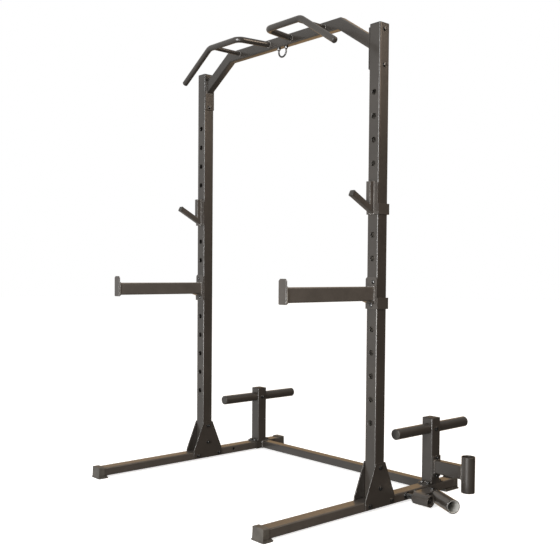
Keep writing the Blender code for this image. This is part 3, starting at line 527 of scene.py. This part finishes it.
def makeUprights():
    low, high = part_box("right_upright")
    tube = squareTube(low, high, up)
    front = Vector((uprightX, low.y, upright["lowestHole"]))
    drill = rod(front - back * 0.01, front + back * 0.01, upright["holeRadius"], 48)
    row = drill.modifiers.new("row", "ARRAY")
    row.count = upright["holeCount"]
    row.use_relative_offset = False
    row.use_constant_offset = True
    row.constant_offset_displace = up * upright["holePitch"]
    applyModifiers(drill)
    # the unpainted steel glimpsed through the holes, made pale as painted light standing in for light
    # falling inside the tube
    inset = upright["wall"] + 0.00005
    lining = squareTube(low + Vector((inset, inset, 0)), high - Vector((inset, inset, 0)), up,
                        {"wall": 0.0002, "corner": upright["corner"] - inset, "cornerSteps": 4})
    drillCopy = drill.copy()
    bpy.context.scene.collection.objects.link(drillCopy)
    cut(lining, drillCopy)
    finishPair(lining, "UprightLining", bareSteelPaintedLight, "rack", soften=0)
    cut(tube, drill)
    finishPair(tube, "Upright", frameCoat, "rack", ["right_upright"], soften=0.0007)


makeUprights()
print("uprights made")


railSizes = {"boltHole": 0.0075, "drillReach": 0.1, "capSoften": 0.0009}


def makeRails():
    low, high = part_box("right_base_rail")
    rail = squareTube(low, high, back)
    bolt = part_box("landmine_bolt")
    hole = Vector(((low.x + high.x) / 2, (bolt[0].y + bolt[1].y) / 2, (bolt[0].z + bolt[1].z) / 2))
    reach = right * railSizes["drillReach"]
    drill = rod(hole - reach, hole + reach, railSizes["boltHole"], 32)
    cut(rail, drill)
    finishPair(rail, "BaseRail", railCoatPaintedLight, "rack", ["right_base_rail"])
    for end in ("front", "rear"):
        copyPair(f"right_{end}_foot_cap", end.capitalize() + "FootCap", footPlastic, "rack",
                 railSizes["capSoften"])


def makeCrossTube():
    finishPiece(copyOfNode("rear_cross_tube"), "rearCrossTube", frameCoat, "rack", ["rear_cross_tube"])


def makeGussets():
    for face in ("outer", "inner"):
        copyPair(f"right_{face}_gusset", face.capitalize() + "Gusset", frameCoat, "rack", 0.0009)


frameBolts = {
    "footZ": (0.097, 0.185), "railPairY": (-0.064, 0.075), "railPairZ": 0.031,
    "barZ": (1.8875, 2.0365), "plate": 0.005,
}


def boltThrough(y, z, outFace, inFace, name, nodes=()):
    # a head on the outer face and a nut on the inner one
    fitPair("bolt", Vector((outFace, y, z)), right, name + "Head", "rack", nodes)
    fitPair("nut", Vector((inFace, y, z)), -right, name + "Nut", "rack")


def makeFootBolts():
    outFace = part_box("right_outer_gusset")[1].x
    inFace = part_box("right_inner_gusset")[0].x
    for z, level in zip(frameBolts["footZ"], ("lower", "upper")):
        boltThrough(rackY, z, outFace, inFace, level.capitalize() + "FootBolt", [f"right_{level}_foot_bolt"])
    for y, word in zip(frameBolts["railPairY"], ("Front", "Rear")):
        boltThrough(rackY + y, frameBolts["railPairZ"], outFace, inFace, word + "RailBolt")


crossTube = {"frontInset": 0.095, "rearInset": 0.045, "seamGap": 0.0008, "edge": 0.001}


def makeFrameWelds():
    low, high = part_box("rear_cross_tube")
    front, rear = high.y - crossTube["frontInset"], high.y - crossTube["rearInset"]
    bottom, top = low.z + crossTube["edge"], high.z - crossTube["edge"]
    seam = high.x - frameBolts["plate"] - crossTube["seamGap"]
    corners = [
        Vector((seam, front, bottom)), Vector((seam, rear, bottom)),
        Vector((seam, rear, top)), Vector((seam, front, top)),
    ]
    finishPair(weldLoop(corners, 0.95), "CrossTubeWeld", weldCoatPaintedHighlight, "rack", soften=0)


makeRails()
makeCrossTube()
makeGussets()
makeFootBolts()
makeFrameWelds()
print("floor frame made")


crossbar = {"tubeHeight": 0.050, "gripDrop": 0.025, "capSoften": 0.0012}


def makeCrossbar():
    finishPiece(copyOfNode("pullup_crossbar"), "pullupCrossbar", frameCoat, "rack", ["pullup_crossbar"])
    copyPair("right_bar_end_plate", "BarEndPlate", frameCoat, "rack")
    copyPair("right_upright_cap", "UprightCap", blackPlastic, "rack", crossbar["capSoften"])


def makeBarBolts():
    outFace = rightUprightHigh.x
    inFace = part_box("right_bar_end_plate")[0].x
    for z, level in zip(frameBolts["barZ"], ("lower", "upper")):
        boltThrough(rackY, z, outFace, inFace, level.capitalize() + "BarBolt", [f"right_{level}_bar_bolt"])


def makeBarWelds():
    # round the sloped tube where it meets each end plate
    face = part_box("right_bar_end_plate")[0].x
    barLow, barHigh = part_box("pullup_crossbar")
    slant = crossbar["tubeHeight"] / math.cos(handle["slope"])
    corners = [
        Vector((face, barLow.y, barLow.z)), Vector((face, barHigh.y, barLow.z)),
        Vector((face, barHigh.y, barLow.z + slant)), Vector((face, barLow.y, barLow.z + slant)),
    ]
    finishPair(weldLoop(corners, 0.95), "BarEndWeld", weldCoatPaintedHighlight, "rack", soften=0)


handle = {
    "radius": 0.014, "reach": 0.190, "rootX": 0.077, "innerX": 0.103, "outerX": 0.325,
    "endRun": 0.204, "slope": math.radians(33.5), "innerBend": 0.035, "outerBend": 0.050,
    "braceX": 0.300, "braceRadius": 0.010, "ringSides": 32, "bendSteps": 14, "capRim": 0.003,
    "capSteps": ((0.97, 0.0022), (0.85, 0.0026), (0.60, 0.0018), (0.30, 0.0008)),
}


def bentTube(points, radii, radius):
    # a round tube: extruded along each straight and spun round each bend
    run = (points[1] - points[0]).normalized()
    bpy.ops.mesh.primitive_circle_add(vertices=handle["ringSides"], radius=radius, fill_type="NGON",
                                      location=points[0], rotation=run.to_track_quat("Z", "Y").to_euler())
    tube = bpy.context.object
    applyPlace(tube)
    pick(tube, "FACE", lambda face: True)
    place = points[0]
    for corner, after, bend in zip(points[1:], points[2:], radii):
        run = (corner - place).normalized()
        nextRun = (after - corner).normalized()
        turn = run.angle(nextRun)
        setback = bend * math.tan(turn / 2)
        bendStart = corner - run * setback
        bpy.ops.mesh.extrude_region_move(TRANSFORM_OT_translate={"value": bendStart - place})
        axis = run.cross(nextRun).normalized()
        centre = bendStart + axis.cross(run) * bend
        bpy.ops.mesh.spin(steps=handle["bendSteps"], angle=-turn, center=centre, axis=axis)
        place = corner + nextRun * setback
    bpy.ops.mesh.extrude_region_move(TRANSFORM_OT_translate={"value": points[-1] - place})
    bpy.ops.mesh.select_all(action="SELECT")
    bpy.ops.mesh.normals_make_consistent(inside=False)
    leaveEdit()
    return tube


def makeHandles():
    barLow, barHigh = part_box("pullup_crossbar")
    barFront = barLow.y
    gripZ = barHigh.z - crossbar["gripDrop"]
    gripY = rackY - handle["reach"]
    drop = handle["endRun"] * math.tan(handle["slope"])
    points = [
        Vector((middleX + handle["rootX"], barFront, gripZ)),
        Vector((middleX + handle["innerX"], gripY, gripZ)),
        Vector((middleX + handle["outerX"], gripY, gripZ)),
        Vector((middleX + handle["outerX"] + handle["endRun"], gripY, gripZ - drop)),
    ]
    tube = bentTube(points, (handle["innerBend"], handle["outerBend"]), handle["radius"])
    brace = rod(Vector((middleX + handle["braceX"], barFront, gripZ)),
                Vector((middleX + handle["braceX"], gripY, gripZ)), handle["braceRadius"], 32)
    cut(tube, brace, "UNION")
    finishPair(tube, "PullupHandle", frameCoat, "rack", ["right_pullup_handle"], soften=0)
    out = (points[3] - points[2]).normalized()
    capEnd = points[3]
    plug = rod(capEnd, capEnd + out * handle["capRim"], handle["radius"], handle["ringSides"])
    pick(plug, "FACE", lambda face: face.normal.dot(out) > 0.9)
    for factor, rise in handle["capSteps"]:
        bpy.ops.mesh.extrude_region_move(TRANSFORM_OT_translate={"value": out * rise})
        bpy.ops.transform.resize(value=(factor, factor, factor))
    leaveEdit()
    finishPair(plug, "HandleCap", greyPlastic, "rack", ["right_handle_cap"], soften=0.0004)
    firstRun = (points[1] - points[0]).normalized()
    roots = join([
        weldRing(points[0] + firstRun * 0.001, -back, handle["radius"] + 0.0005, 0.9),
        weldRing(Vector((middleX + handle["braceX"], barFront - 0.001, gripZ)), -back,
                 handle["braceRadius"] + 0.0005, 0.9),
    ])
    finishPair(roots, "HandleWelds", weldCoatPaintedHighlight, "rack", soften=0)


loop = {"wire": 0.004, "halfWidth": 0.026, "drop": 0.044}


def makeBandLoop():
    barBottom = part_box("pullup_crossbar")[1].z - crossbar["tubeHeight"]
    bend = loop["halfWidth"]
    points = [
        Vector((middleX + bend, rackY, barBottom + 0.002)),
        Vector((middleX + bend, rackY, barBottom - loop["drop"])),
        Vector((middleX - bend, rackY, barBottom - loop["drop"])),
        Vector((middleX - bend, rackY, barBottom + 0.002)),
    ]
    wire = bentTube(points, (bend - 0.0001, bend - 0.0001), loop["wire"])
    finishPiece(wire, "bandLoop", blackZinc, "rack", ["band_loop"], soften=0)
    for side, word in ((-1, "left"), (1, "right")):
        fit("nut", Vector((middleX + side * bend, rackY, barBottom)), -up, word + "LoopNut", "rack")


makeCrossbar()
makeBarBolts()
makeBarWelds()
makeHandles()
makeBandLoop()
print("pull-up bar made")


hook = {"seamGap": 0.0012, "footGap": 0.002, "weldSize": 1.3}


def makeHooks():
    copyPair("right_hook_bracket", "HookBracket", hookCoat, "right_j_hook", 0.0009)
    copyPair("right_hook_horn", "HookHorn", hookCoat, "right_j_hook", 0.0007)
    copyPair("right_horn_cap", "HornCap", greyPlastic, "right_j_hook", 0.0008)
    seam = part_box("right_hook_bracket")[0].y - hook["seamGap"]
    hornLow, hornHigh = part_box("right_hook_horn")
    foot = hornLow.z + hook["footGap"]
    corners = [
        Vector((hornLow.x, seam, foot)), Vector((hornHigh.x, seam, foot)),
        Vector((hornHigh.x, seam, hornHigh.z)), Vector((hornLow.x, seam, hornHigh.z)),
    ]
    finishPair(weldLoop(corners, hook["weldSize"]), "HornWeld", weldCoatPaintedHighlight, "right_j_hook", soften=0)


spotter = {
    "strapDepth": 0.0355, "boltRise": 0.016, "rivetRise": 0.020, "rivetAside": 0.011,
    "seamInset": 0.001, "weldSize": 1.4,
}


def makeSpotters():
    copyPair("right_spotter_bracket", "SpotterBracket", hookCoat, "right_spotter", 0.0009)
    armLow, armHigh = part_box("right_spotter_arm")
    arm = squareTube(armLow, armHigh, back)
    finishPair(arm, "SpotterArm", armCoatAndPaintedLight, "right_spotter", ["right_spotter_arm"])
    copyPair("right_spotter_stop", "SpotterStop", hookCoat, "right_spotter", 0.0014)
    inset = spotter["seamInset"]
    for seam, name in ((armHigh.y - inset, "Root"), (armLow.y + inset, "Tip")):
        corners = [
            Vector((armLow.x, seam, armLow.z)), Vector((armHigh.x, seam, armLow.z)),
            Vector((armHigh.x, seam, armHigh.z)), Vector((armLow.x, seam, armHigh.z)),
        ]
        finishPair(weldLoop(corners, spotter["weldSize"]), "Arm" + name + "Weld", weldCoatPaintedHighlight,
                   "right_spotter", soften=0)
    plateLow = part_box("right_spotter_bracket")[0]
    front = plateLow.y + spotter["strapDepth"]
    bolt = Vector((uprightX, front, plateLow.z + spotter["boltRise"]))
    rivet = Vector((uprightX + spotter["rivetAside"], front, armHigh.z + spotter["rivetRise"]))
    fitPair("dome", bolt, -back, "SpotterBolt", "right_spotter")
    fitPair("dome", rivet, -back, "SpotterRivet", "right_spotter")


makeHooks()
makeSpotters()
print("hooks and spotters made")


storage = {
    "pegSides": 72, "plugRim": 0.0022, "plugSteps": ((0.955, 0.0018), (0.93, 0.0006)),
    "plugInset": 0.003, "plugDish": 0.0008,
}


def makePosts():
    copyPair("right_plate_post", "PlatePost", frameCoat, "rack")
    copyPair("right_post_cap", "PostCap", blackPlastic, "rack", 0.0012)
    pegLow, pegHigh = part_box("right_plate_peg")
    centre = (pegLow + pegHigh) / 2
    radius = (pegHigh.x - pegLow.x) / 2
    start = Vector((centre.x, pegLow.y, centre.z))
    end = Vector((centre.x, pegHigh.y, centre.z))
    peg = rod(start, end, radius, storage["pegSides"])
    finishPair(peg, "PlatePeg", frameCoat, "rack", ["right_plate_peg"], soften=0.0006)
    for out, seat, word in ((-back, start, "front"), (back, end, "rear")):
        plug = rod(seat, seat + out * storage["plugRim"], radius, storage["pegSides"])
        pick(plug, "FACE", lambda face: face.normal.dot(out) > 0.9)
        for factor, rise in storage["plugSteps"]:
            bpy.ops.mesh.extrude_region_move(TRANSFORM_OT_translate={"value": out * rise})
            bpy.ops.transform.resize(value=(factor, 1, factor))
        bpy.ops.mesh.inset(thickness=storage["plugInset"], depth=-storage["plugDish"])
        leaveEdit()
        finishPair(plug, word.capitalize() + "PegCap", greyPlastic, "rack", [f"right_peg_{word}_cap"],
                   soften=0.0003)


storageBolts = {"baseX": 0.017, "baseInset": 0.0125}


def makePostBolts():
    low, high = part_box("right_plate_post")
    pegLow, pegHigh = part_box("right_plate_peg")
    middle = (low + high) / 2
    pegZ = (pegLow.z + pegHigh.z) / 2
    fitPair("bolt", Vector((high.x, middle.y, pegZ)), right, "PegBoltHead", "rack")
    fitPair("nut", Vector((low.x, middle.y, pegZ)), -right, "PegBoltNut", "rack")
    seat = low.z + frameBolts["plate"]
    inset = storageBolts["baseInset"]
    for y, row in ((low.y + inset, "Front"), (high.y - inset, "Rear")):
        for side, word in ((-1, "Inner"), (1, "Outer")):
            place = Vector((uprightX + side * storageBolts["baseX"], y, seat))
            fitPair("bolt", place, up, row + word + "BaseBolt", "rack")


def makePostWelds():
    low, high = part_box("right_plate_post")
    capLow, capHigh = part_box("right_post_cap")
    seam = low.z + frameBolts["plate"] + 0.0005
    corners = [
        Vector((low.x + 0.003, capLow.y, seam)), Vector((high.x - 0.003, capLow.y, seam)),
        Vector((high.x - 0.003, capHigh.y, seam)), Vector((low.x + 0.003, capHigh.y, seam)),
    ]
    finishPair(weldLoop(corners, 0.8), "PostWeld", weldCoatPaintedHighlight, "rack", soften=0)


makePosts()
makePostBolts()
makePostWelds()
print("plate storage made")


holder = {
    "radius": 0.030, "wall": 0.003, "armDepth": 0.040, "armLow": 0.100, "armHigh": 0.160,
    "flangeLow": 0.080, "flangeHigh": 0.180, "flange": 0.005, "flangeInset": 0.002,
    "cornerRadius": 0.006, "boltInset": 0.010, "boreOver": 0.01, "sides": 80,
}


def makeBarHolder():
    low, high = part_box("bar_holder")
    centre = Vector((high.x - holder["radius"], (low.y + high.y) / 2, 0))
    tube = rod(centre + up * low.z, centre + up * high.z, holder["radius"], holder["sides"])
    over = holder["boreOver"]
    bore = rod(centre + up * (low.z - over), centre + up * (high.z + over),
               holder["radius"] - holder["wall"], holder["sides"])
    cut(tube, bore)
    finishPiece(tube, "barHolderTube", frameCoat, "rack", ["bar_holder"], soften=0.0008)
    half = holder["armDepth"] / 2
    armLow = Vector((low.x + holder["flange"] - 0.0002, centre.y - half, holder["armLow"]))
    armHigh = Vector((centre.x - holder["radius"] + 0.009, centre.y + half, holder["armHigh"]))
    arm = squareTube(armLow, armHigh, right)
    clearance = rod(centre, centre + up, holder["radius"] - 0.0002, holder["sides"])
    cut(arm, clearance)
    finishPiece(arm, "barHolderArm", frameCoat, "rack")
    size = Vector((holder["flange"], high.y - low.y - 2 * holder["flangeInset"],
                   holder["flangeHigh"] - holder["flangeLow"]))
    middle = Vector((low.x + holder["flange"] / 2, centre.y,
                     (holder["flangeLow"] + holder["flangeHigh"]) / 2))
    bpy.ops.mesh.primitive_cube_add(size=1, location=middle, scale=size)
    flange = bpy.context.object
    applyPlace(flange)
    pick(flange, "EDGE", edgeAlong(right))
    bpy.ops.mesh.bevel(offset=holder["cornerRadius"], segments=5, affect="EDGES")
    leaveEdit()
    finishPiece(flange, "barHolderFlange", frameCoat, "rack", soften=0.0008)
    face = low.x + holder["flange"]
    inset = holder["boltInset"]
    for z, word in ((holder["flangeLow"] + inset, "Lower"), (holder["flangeHigh"] - inset, "Upper")):
        fit("bolt", Vector((face, centre.y, z)), right, "holder" + word + "Bolt", "rack")
    corners = [
        Vector((face, armLow.y, armLow.z)), Vector((face, armHigh.y, armLow.z)),
        Vector((face, armHigh.y, armHigh.z)), Vector((face, armLow.y, armHigh.z)),
    ]
    finishPiece(weldLoop(corners, 0.95), "holderFlangeWeld", weldCoatPaintedHighlight, "rack", soften=0)
    run = math.sqrt(holder["radius"] ** 2 - half ** 2)
    seams = []
    for side in (-1, 1):
        foot = Vector((centre.x - run, centre.y + side * half, 0))
        seams.append(weldLine(foot + up * armLow.z, foot + up * armHigh.z))
    finishPiece(join(seams), "holderTubeWeld", weldCoatPaintedHighlight, "rack", soften=0)


makeBarHolder()
print("bar holder made")

landmine = {
    "boltRadius": 0.006, "spacerRadius": 0.012, "barrelRadius": 0.026,
    "recessRim": 0.005, "recess": 0.010,
    "clevisPlate": 0.006, "clevisHalfGap": 0.016, "clevisHalfWidth": 0.030, "tipShare": 0.8,
    "pinHead": 0.010, "pinHeadHeight": 0.004,
    "sleeveRadius": 0.030, "sleeveWall": 0.003, "sleeveStart": 0.050, "sleeveLength": 0.155,
    "floor": 0.008,
    "linerWall": 0.0014, "lugHalfWidth": 0.018, "turn": math.radians(-28), "gap": 0.0003,
    "collarRadius": 0.0175, "collarHeight": 0.003, "clevisStart": 0.014,
}


def pinPlace():
    low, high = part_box("landmine_swivel_pin")
    return (low + high) / 2


def makeLandmineBolt():
    low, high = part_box("landmine_bolt")
    axis = (low + high) / 2
    spacerLow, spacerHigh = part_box("landmine_spacer")
    shank = rod(Vector((low.x + 0.004, axis.y, axis.z)), Vector((high.x - 0.003, axis.y, axis.z)),
                landmine["boltRadius"], 32)
    finishPiece(shank, "landmineBolt", blackZinc, "rack", ["landmine_bolt"], soften=0.0005)
    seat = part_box("landmine_barrel")[1].x - landmine["recess"]
    fit("bolt", Vector((seat + landmine["gap"], axis.y, axis.z)), right, "landmineBoltHead", "rack")
    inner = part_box("right_base_rail")[0].x
    fit("nut", Vector((inner, axis.y, axis.z)), -right, "landmineBoltNut", "rack")
    spacer = rod(Vector((spacerLow.x, axis.y, axis.z)), Vector((spacerHigh.x, axis.y, axis.z)),
                 landmine["spacerRadius"], 48)
    finishPiece(spacer, "landmineSpacer", blackZinc, "rack", ["landmine_spacer"], soften=0.0008)
    collar = rod(Vector((spacerLow.x, axis.y, axis.z)),
                 Vector((spacerLow.x + landmine["collarHeight"], axis.y, axis.z)),
                 landmine["collarRadius"], 40)
    finishPiece(collar, "landmineWasher", blackZinc, "rack", soften=0.0006)


def makeBarrel():
    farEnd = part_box("landmine_barrel")[1].x
    boltLow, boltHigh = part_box("landmine_bolt")
    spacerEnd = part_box("landmine_spacer")[1].x + landmine["gap"]
    axis = Vector((0, (boltLow.y + boltHigh.y) / 2, (boltLow.z + boltHigh.z) / 2))
    barrel = rod(Vector((spacerEnd, axis.y, axis.z)), Vector((farEnd, axis.y, axis.z)),
                 landmine["barrelRadius"], 80)
    pick(barrel, "FACE", faceTowards(right))
    bpy.ops.mesh.inset(thickness=landmine["recessRim"], depth=0)
    bpy.ops.mesh.extrude_region_move(TRANSFORM_OT_translate={"value": (-landmine["recess"], 0, 0)})
    leaveEdit()
    pin = pinPlace()
    half = landmine["clevisHalfWidth"]
    for level, word in ((landmine["clevisHalfGap"], "Upper"),
                        (-landmine["clevisHalfGap"] - landmine["clevisPlate"], "Lower")):
        bottom = pin.z + level
        start = axis.y + landmine["clevisStart"]
        bpy.ops.mesh.primitive_cube_add(
            size=1, location=(pin.x, (start + pin.y) / 2, bottom + landmine["clevisPlate"] / 2),
            scale=(2 * half, pin.y - start, landmine["clevisPlate"]))
        plate = bpy.context.object
        applyPlace(plate)
        tip = rod(Vector((pin.x, pin.y, bottom)),
                  Vector((pin.x, pin.y, bottom + landmine["clevisPlate"])), half, 64)
        tip.scale = (1, landmine["tipShare"], 1)
        tip.location = (0, pin.y * (1 - landmine["tipShare"]), 0)
        applyPlace(tip)
        cut(plate, tip, "UNION")
        finishPiece(plate, "clevis" + word, frameCoat, "landmine_knuckle", soften=0.0008)
    finishPiece(barrel, "landmineBarrel", frameCoat, "landmine_knuckle", ["landmine_barrel"], soften=0.0008)
    rise = landmine["clevisHalfGap"] + landmine["clevisPlate"]
    seamY = axis.y + math.sqrt(landmine["barrelRadius"] ** 2 - rise ** 2)
    seams = []
    for z in (rise, -rise):
        seams.append(weldLine(Vector((pin.x - half, seamY, axis.z + z)),
                              Vector((pin.x + half, seamY, axis.z + z)), 0.9))
    finishPiece(join(seams), "clevisWeld", weldCoatPaintedHighlight, "landmine_knuckle", soften=0)


def makeSwivelPin():
    low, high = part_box("landmine_swivel_pin")
    pin = pinPlace()
    body = rod(Vector((pin.x, pin.y, low.z)), Vector((pin.x, pin.y, high.z)), landmine["boltRadius"], 40)
    heads = [body]
    for z in (low.z, high.z - landmine["pinHeadHeight"]):
        heads.append(rod(Vector((pin.x, pin.y, z)), Vector((pin.x, pin.y, z + landmine["pinHeadHeight"])),
                         landmine["pinHead"], 48))
    cut(heads[0], heads[1], "UNION")
    cut(heads[0], heads[2], "UNION")
    finishPiece(heads[0], "swivelPin", blackZinc, "landmine_knuckle", ["landmine_swivel_pin"],
                soften=0.0009, steps=3)


def makeSleeve():
    pin = pinPlace()
    along = Vector((math.cos(landmine["turn"]), math.sin(landmine["turn"]), 0))
    start = pin + along * landmine["sleeveStart"]
    end = start + along * landmine["sleeveLength"]
    sleeve = rod(start, end, landmine["sleeveRadius"], 96)
    pick(sleeve, "FACE", lambda face: face.normal.dot(along) > 0.9)
    bpy.ops.mesh.inset(thickness=landmine["sleeveWall"], depth=0)
    bore = landmine["sleeveLength"] - landmine["floor"]
    bpy.ops.mesh.extrude_region_move(TRANSFORM_OT_translate={"value": along * -bore})
    leaveEdit()
    finishPiece(sleeve, "landmineSleeve", frameCoat, "landmine_sleeve_body", ["landmine_sleeve"],
                soften=0.0008)
    half = landmine["lugHalfWidth"]
    tall = landmine["clevisHalfGap"] - landmine["gap"]
    lug = rod(pin - up * tall, pin + up * tall, half, 64)
    bpy.ops.mesh.primitive_cube_add(size=1, location=pin + along * landmine["sleeveStart"] / 2,
                                    rotation=(0, 0, landmine["turn"]),
                                    scale=(landmine["sleeveStart"] + 0.001, 2 * half, 2 * tall))
    neck = bpy.context.object
    applyPlace(neck)
    cut(lug, neck, "UNION")
    finishPiece(lug, "sleeveLug", frameCoat, "landmine_sleeve_body", soften=0.0008)
    ring = weldLoop([start + Vector((0, 0, z)) + along.cross(up) * x
                     for x, z in ((half, tall), (-half, tall), (-half, -tall), (half, -tall))], 0.9)
    finishPiece(ring, "lugWeld", weldCoatPaintedHighlight, "landmine_sleeve_body", soften=0)
    inner = landmine["sleeveRadius"] - landmine["sleeveWall"] - landmine["gap"]
    liner = rod(start + along * (landmine["floor"] + landmine["gap"]),
                end - along * landmine["gap"], inner, 96)
    hollow = rod(start, end + along * 0.01, inner - landmine["linerWall"], 96)
    cut(liner, hollow)
    finishPiece(liner, "sleeveLiner", greyNylon, "landmine_sleeve_body", ["landmine_sleeve_liner"],
                soften=0.0004)


makeLandmineBolt()
makeBarrel()
makeSwivelPin()
makeSleeve()
print("landmine made")

for pattern in patterns.values():
    bpy.data.objects.remove(pattern, do_unlink=True)


studio = {"floorSize": 60.0, "domeRadius": 28.0}


def plainEmission(name, colour, strength):
    material = bpy.data.materials.new(name)
    material.use_nodes = True
    tree = material.node_tree
    tree.nodes.remove(tree.nodes["Principled BSDF"])
    glow = tree.nodes.new("ShaderNodeEmission")
    glow.inputs["Color"].default_value = (*colour, 1)
    glow.inputs["Strength"].default_value = strength
    tree.links.new(glow.outputs["Emission"], tree.nodes["Material Output"].inputs["Surface"])
    return material


def makeStage():
    bpy.ops.mesh.primitive_plane_add(size=studio["floorSize"])
    floor = bpy.context.object
    floor.name = "studioFloor"
    pale = bpy.data.materials.new("paleFloor")
    pale.use_nodes = True
    shader = pale.node_tree.nodes["Principled BSDF"]
    shader.inputs["Base Color"].default_value = (0.86, 0.86, 0.86, 1)
    shader.inputs["Roughness"].default_value = 0.9
    shader.inputs["Specular IOR Level"].default_value = 0.1
    shader.inputs["Emission Color"].default_value = (1, 1, 1, 1)
    shader.inputs["Emission Strength"].default_value = 0.70
    floor.data.materials.append(pale)
    floor.visible_diffuse = False
    floor.visible_glossy = False
    floor.visible_shadow = False
    bpy.ops.mesh.primitive_uv_sphere_add(segments=64, ring_count=32, radius=studio["domeRadius"])
    dome = bpy.context.object
    dome.name = "studioDome"
    dome.data.materials.append(plainEmission("whiteBackdrop", (1, 1, 1), 1.0))
    dome.visible_diffuse = False
    dome.visible_glossy = False
    dome.visible_transmission = False
    dome.visible_shadow = False
    dome.visible_volume_scatter = False


def makeRoomLight():
    # soft surroundings: brightest to the front left, dim to the right and below, warm behind
    world = bpy.data.worlds.new("room")
    bpy.context.scene.world = world
    world.use_nodes = True
    tree = world.node_tree
    surround = tree.nodes["Background"]
    place = tree.nodes.new("ShaderNodeTexCoord")

    def lean(direction, start, end):
        dot = tree.nodes.new("ShaderNodeVectorMath")
        dot.operation = "DOT_PRODUCT"
        dot.inputs[1].default_value = Vector(direction).normalized()
        tree.links.new(place.outputs["Generated"], dot.inputs[0])
        spread = tree.nodes.new("ShaderNodeMapRange")
        spread.interpolation_type = "SMOOTHSTEP"
        spread.inputs["From Min"].default_value = start
        spread.inputs["From Max"].default_value = end
        tree.links.new(dot.outputs["Value"], spread.inputs["Value"])
        return spread.outputs["Result"]

    ramp = tree.nodes.new("ShaderNodeValToRGB")
    stops = ramp.color_ramp.elements
    stops[0].position, stops[0].color = 0.0, (0.14, 0.125, 0.11, 1)
    stops[1].position, stops[1].color = 1.0, (0.95, 0.94, 0.92, 1)
    tree.links.new(lean((-0.62, -0.55, 0.56), -0.85, 1.0), ramp.inputs["Fac"])
    warm = tree.nodes.new("ShaderNodeMix")
    warm.data_type = "RGBA"
    colours = [socket for socket in warm.inputs if socket.type == "RGBA"]
    tree.links.new(lean((-0.656, 0.755, 0.0), 0.70, 0.97), warm.inputs[0])
    tree.links.new(ramp.outputs["Color"], colours[0])
    colours[1].default_value = (0.84, 0.55, 0.29, 1)
    mixed = [socket for socket in warm.outputs if socket.type == "RGBA"][0]
    tree.links.new(mixed, surround.inputs["Color"])
    surround.inputs["Strength"].default_value = 0.66


def softbox(name, place, target, width, height, power, colour=(1, 1, 1)):
    bpy.ops.object.light_add(type="AREA", location=place)
    lamp = bpy.context.object
    lamp.name = name
    lamp.rotation_euler = (target - place).to_track_quat("-Z", "Y").to_euler()
    lamp.data.shape = "RECTANGLE"
    lamp.data.size = width
    lamp.data.size_y = height
    lamp.data.energy = power
    lamp.data.color = colour


camera = {
    "place": Vector((2.8838, -2.6009, 1.0119)), "yaw": 48.51, "pitch": -1.791, "roll": 0.439,
    "lens": 51.716, "shiftX": 0.01295, "shiftY": 0.03138,
}


def makeCamera():
    bpy.ops.object.camera_add(location=camera["place"] + right * middleX + back * rackY)
    eye = bpy.context.object
    eye.name = "viewer"
    aim = (Matrix.Rotation(math.radians(camera["yaw"]), 4, "Z")
           @ Matrix.Rotation(math.radians(90 + camera["pitch"]), 4, "X")
           @ Matrix.Rotation(math.radians(camera["roll"]), 4, "Z"))
    eye.rotation_euler = aim.to_euler()
    eye.data.lens = camera["lens"]
    eye.data.sensor_width = 36
    eye.data.shift_x = camera["shiftX"]
    eye.data.shift_y = camera["shiftY"]
    eye.data.clip_end = 200
    bpy.context.scene.camera = eye


makeStage()
makeRoomLight()
centre = Vector((middleX, rackY, 1.0))
softbox("stripLight", Vector((1.5, -4.6, 1.5)), centre + up * 0.4, 1.0, 4.0, 280)
softbox("lowLight", Vector((1.5, -1.7, 0.6)), Vector((middleX + 0.6, -0.45, 0.5)), 0.5, 0.8, 14,
        (1.0, 0.93, 0.85))
softbox("warmSide", Vector((3.6, 1.6, 3.4)), centre, 2.0, 2.0, 80, (1.0, 0.80, 0.62))
makeCamera()
bpy.context.scene.view_settings.view_transform = "Standard"
print("stage, lights and camera made")
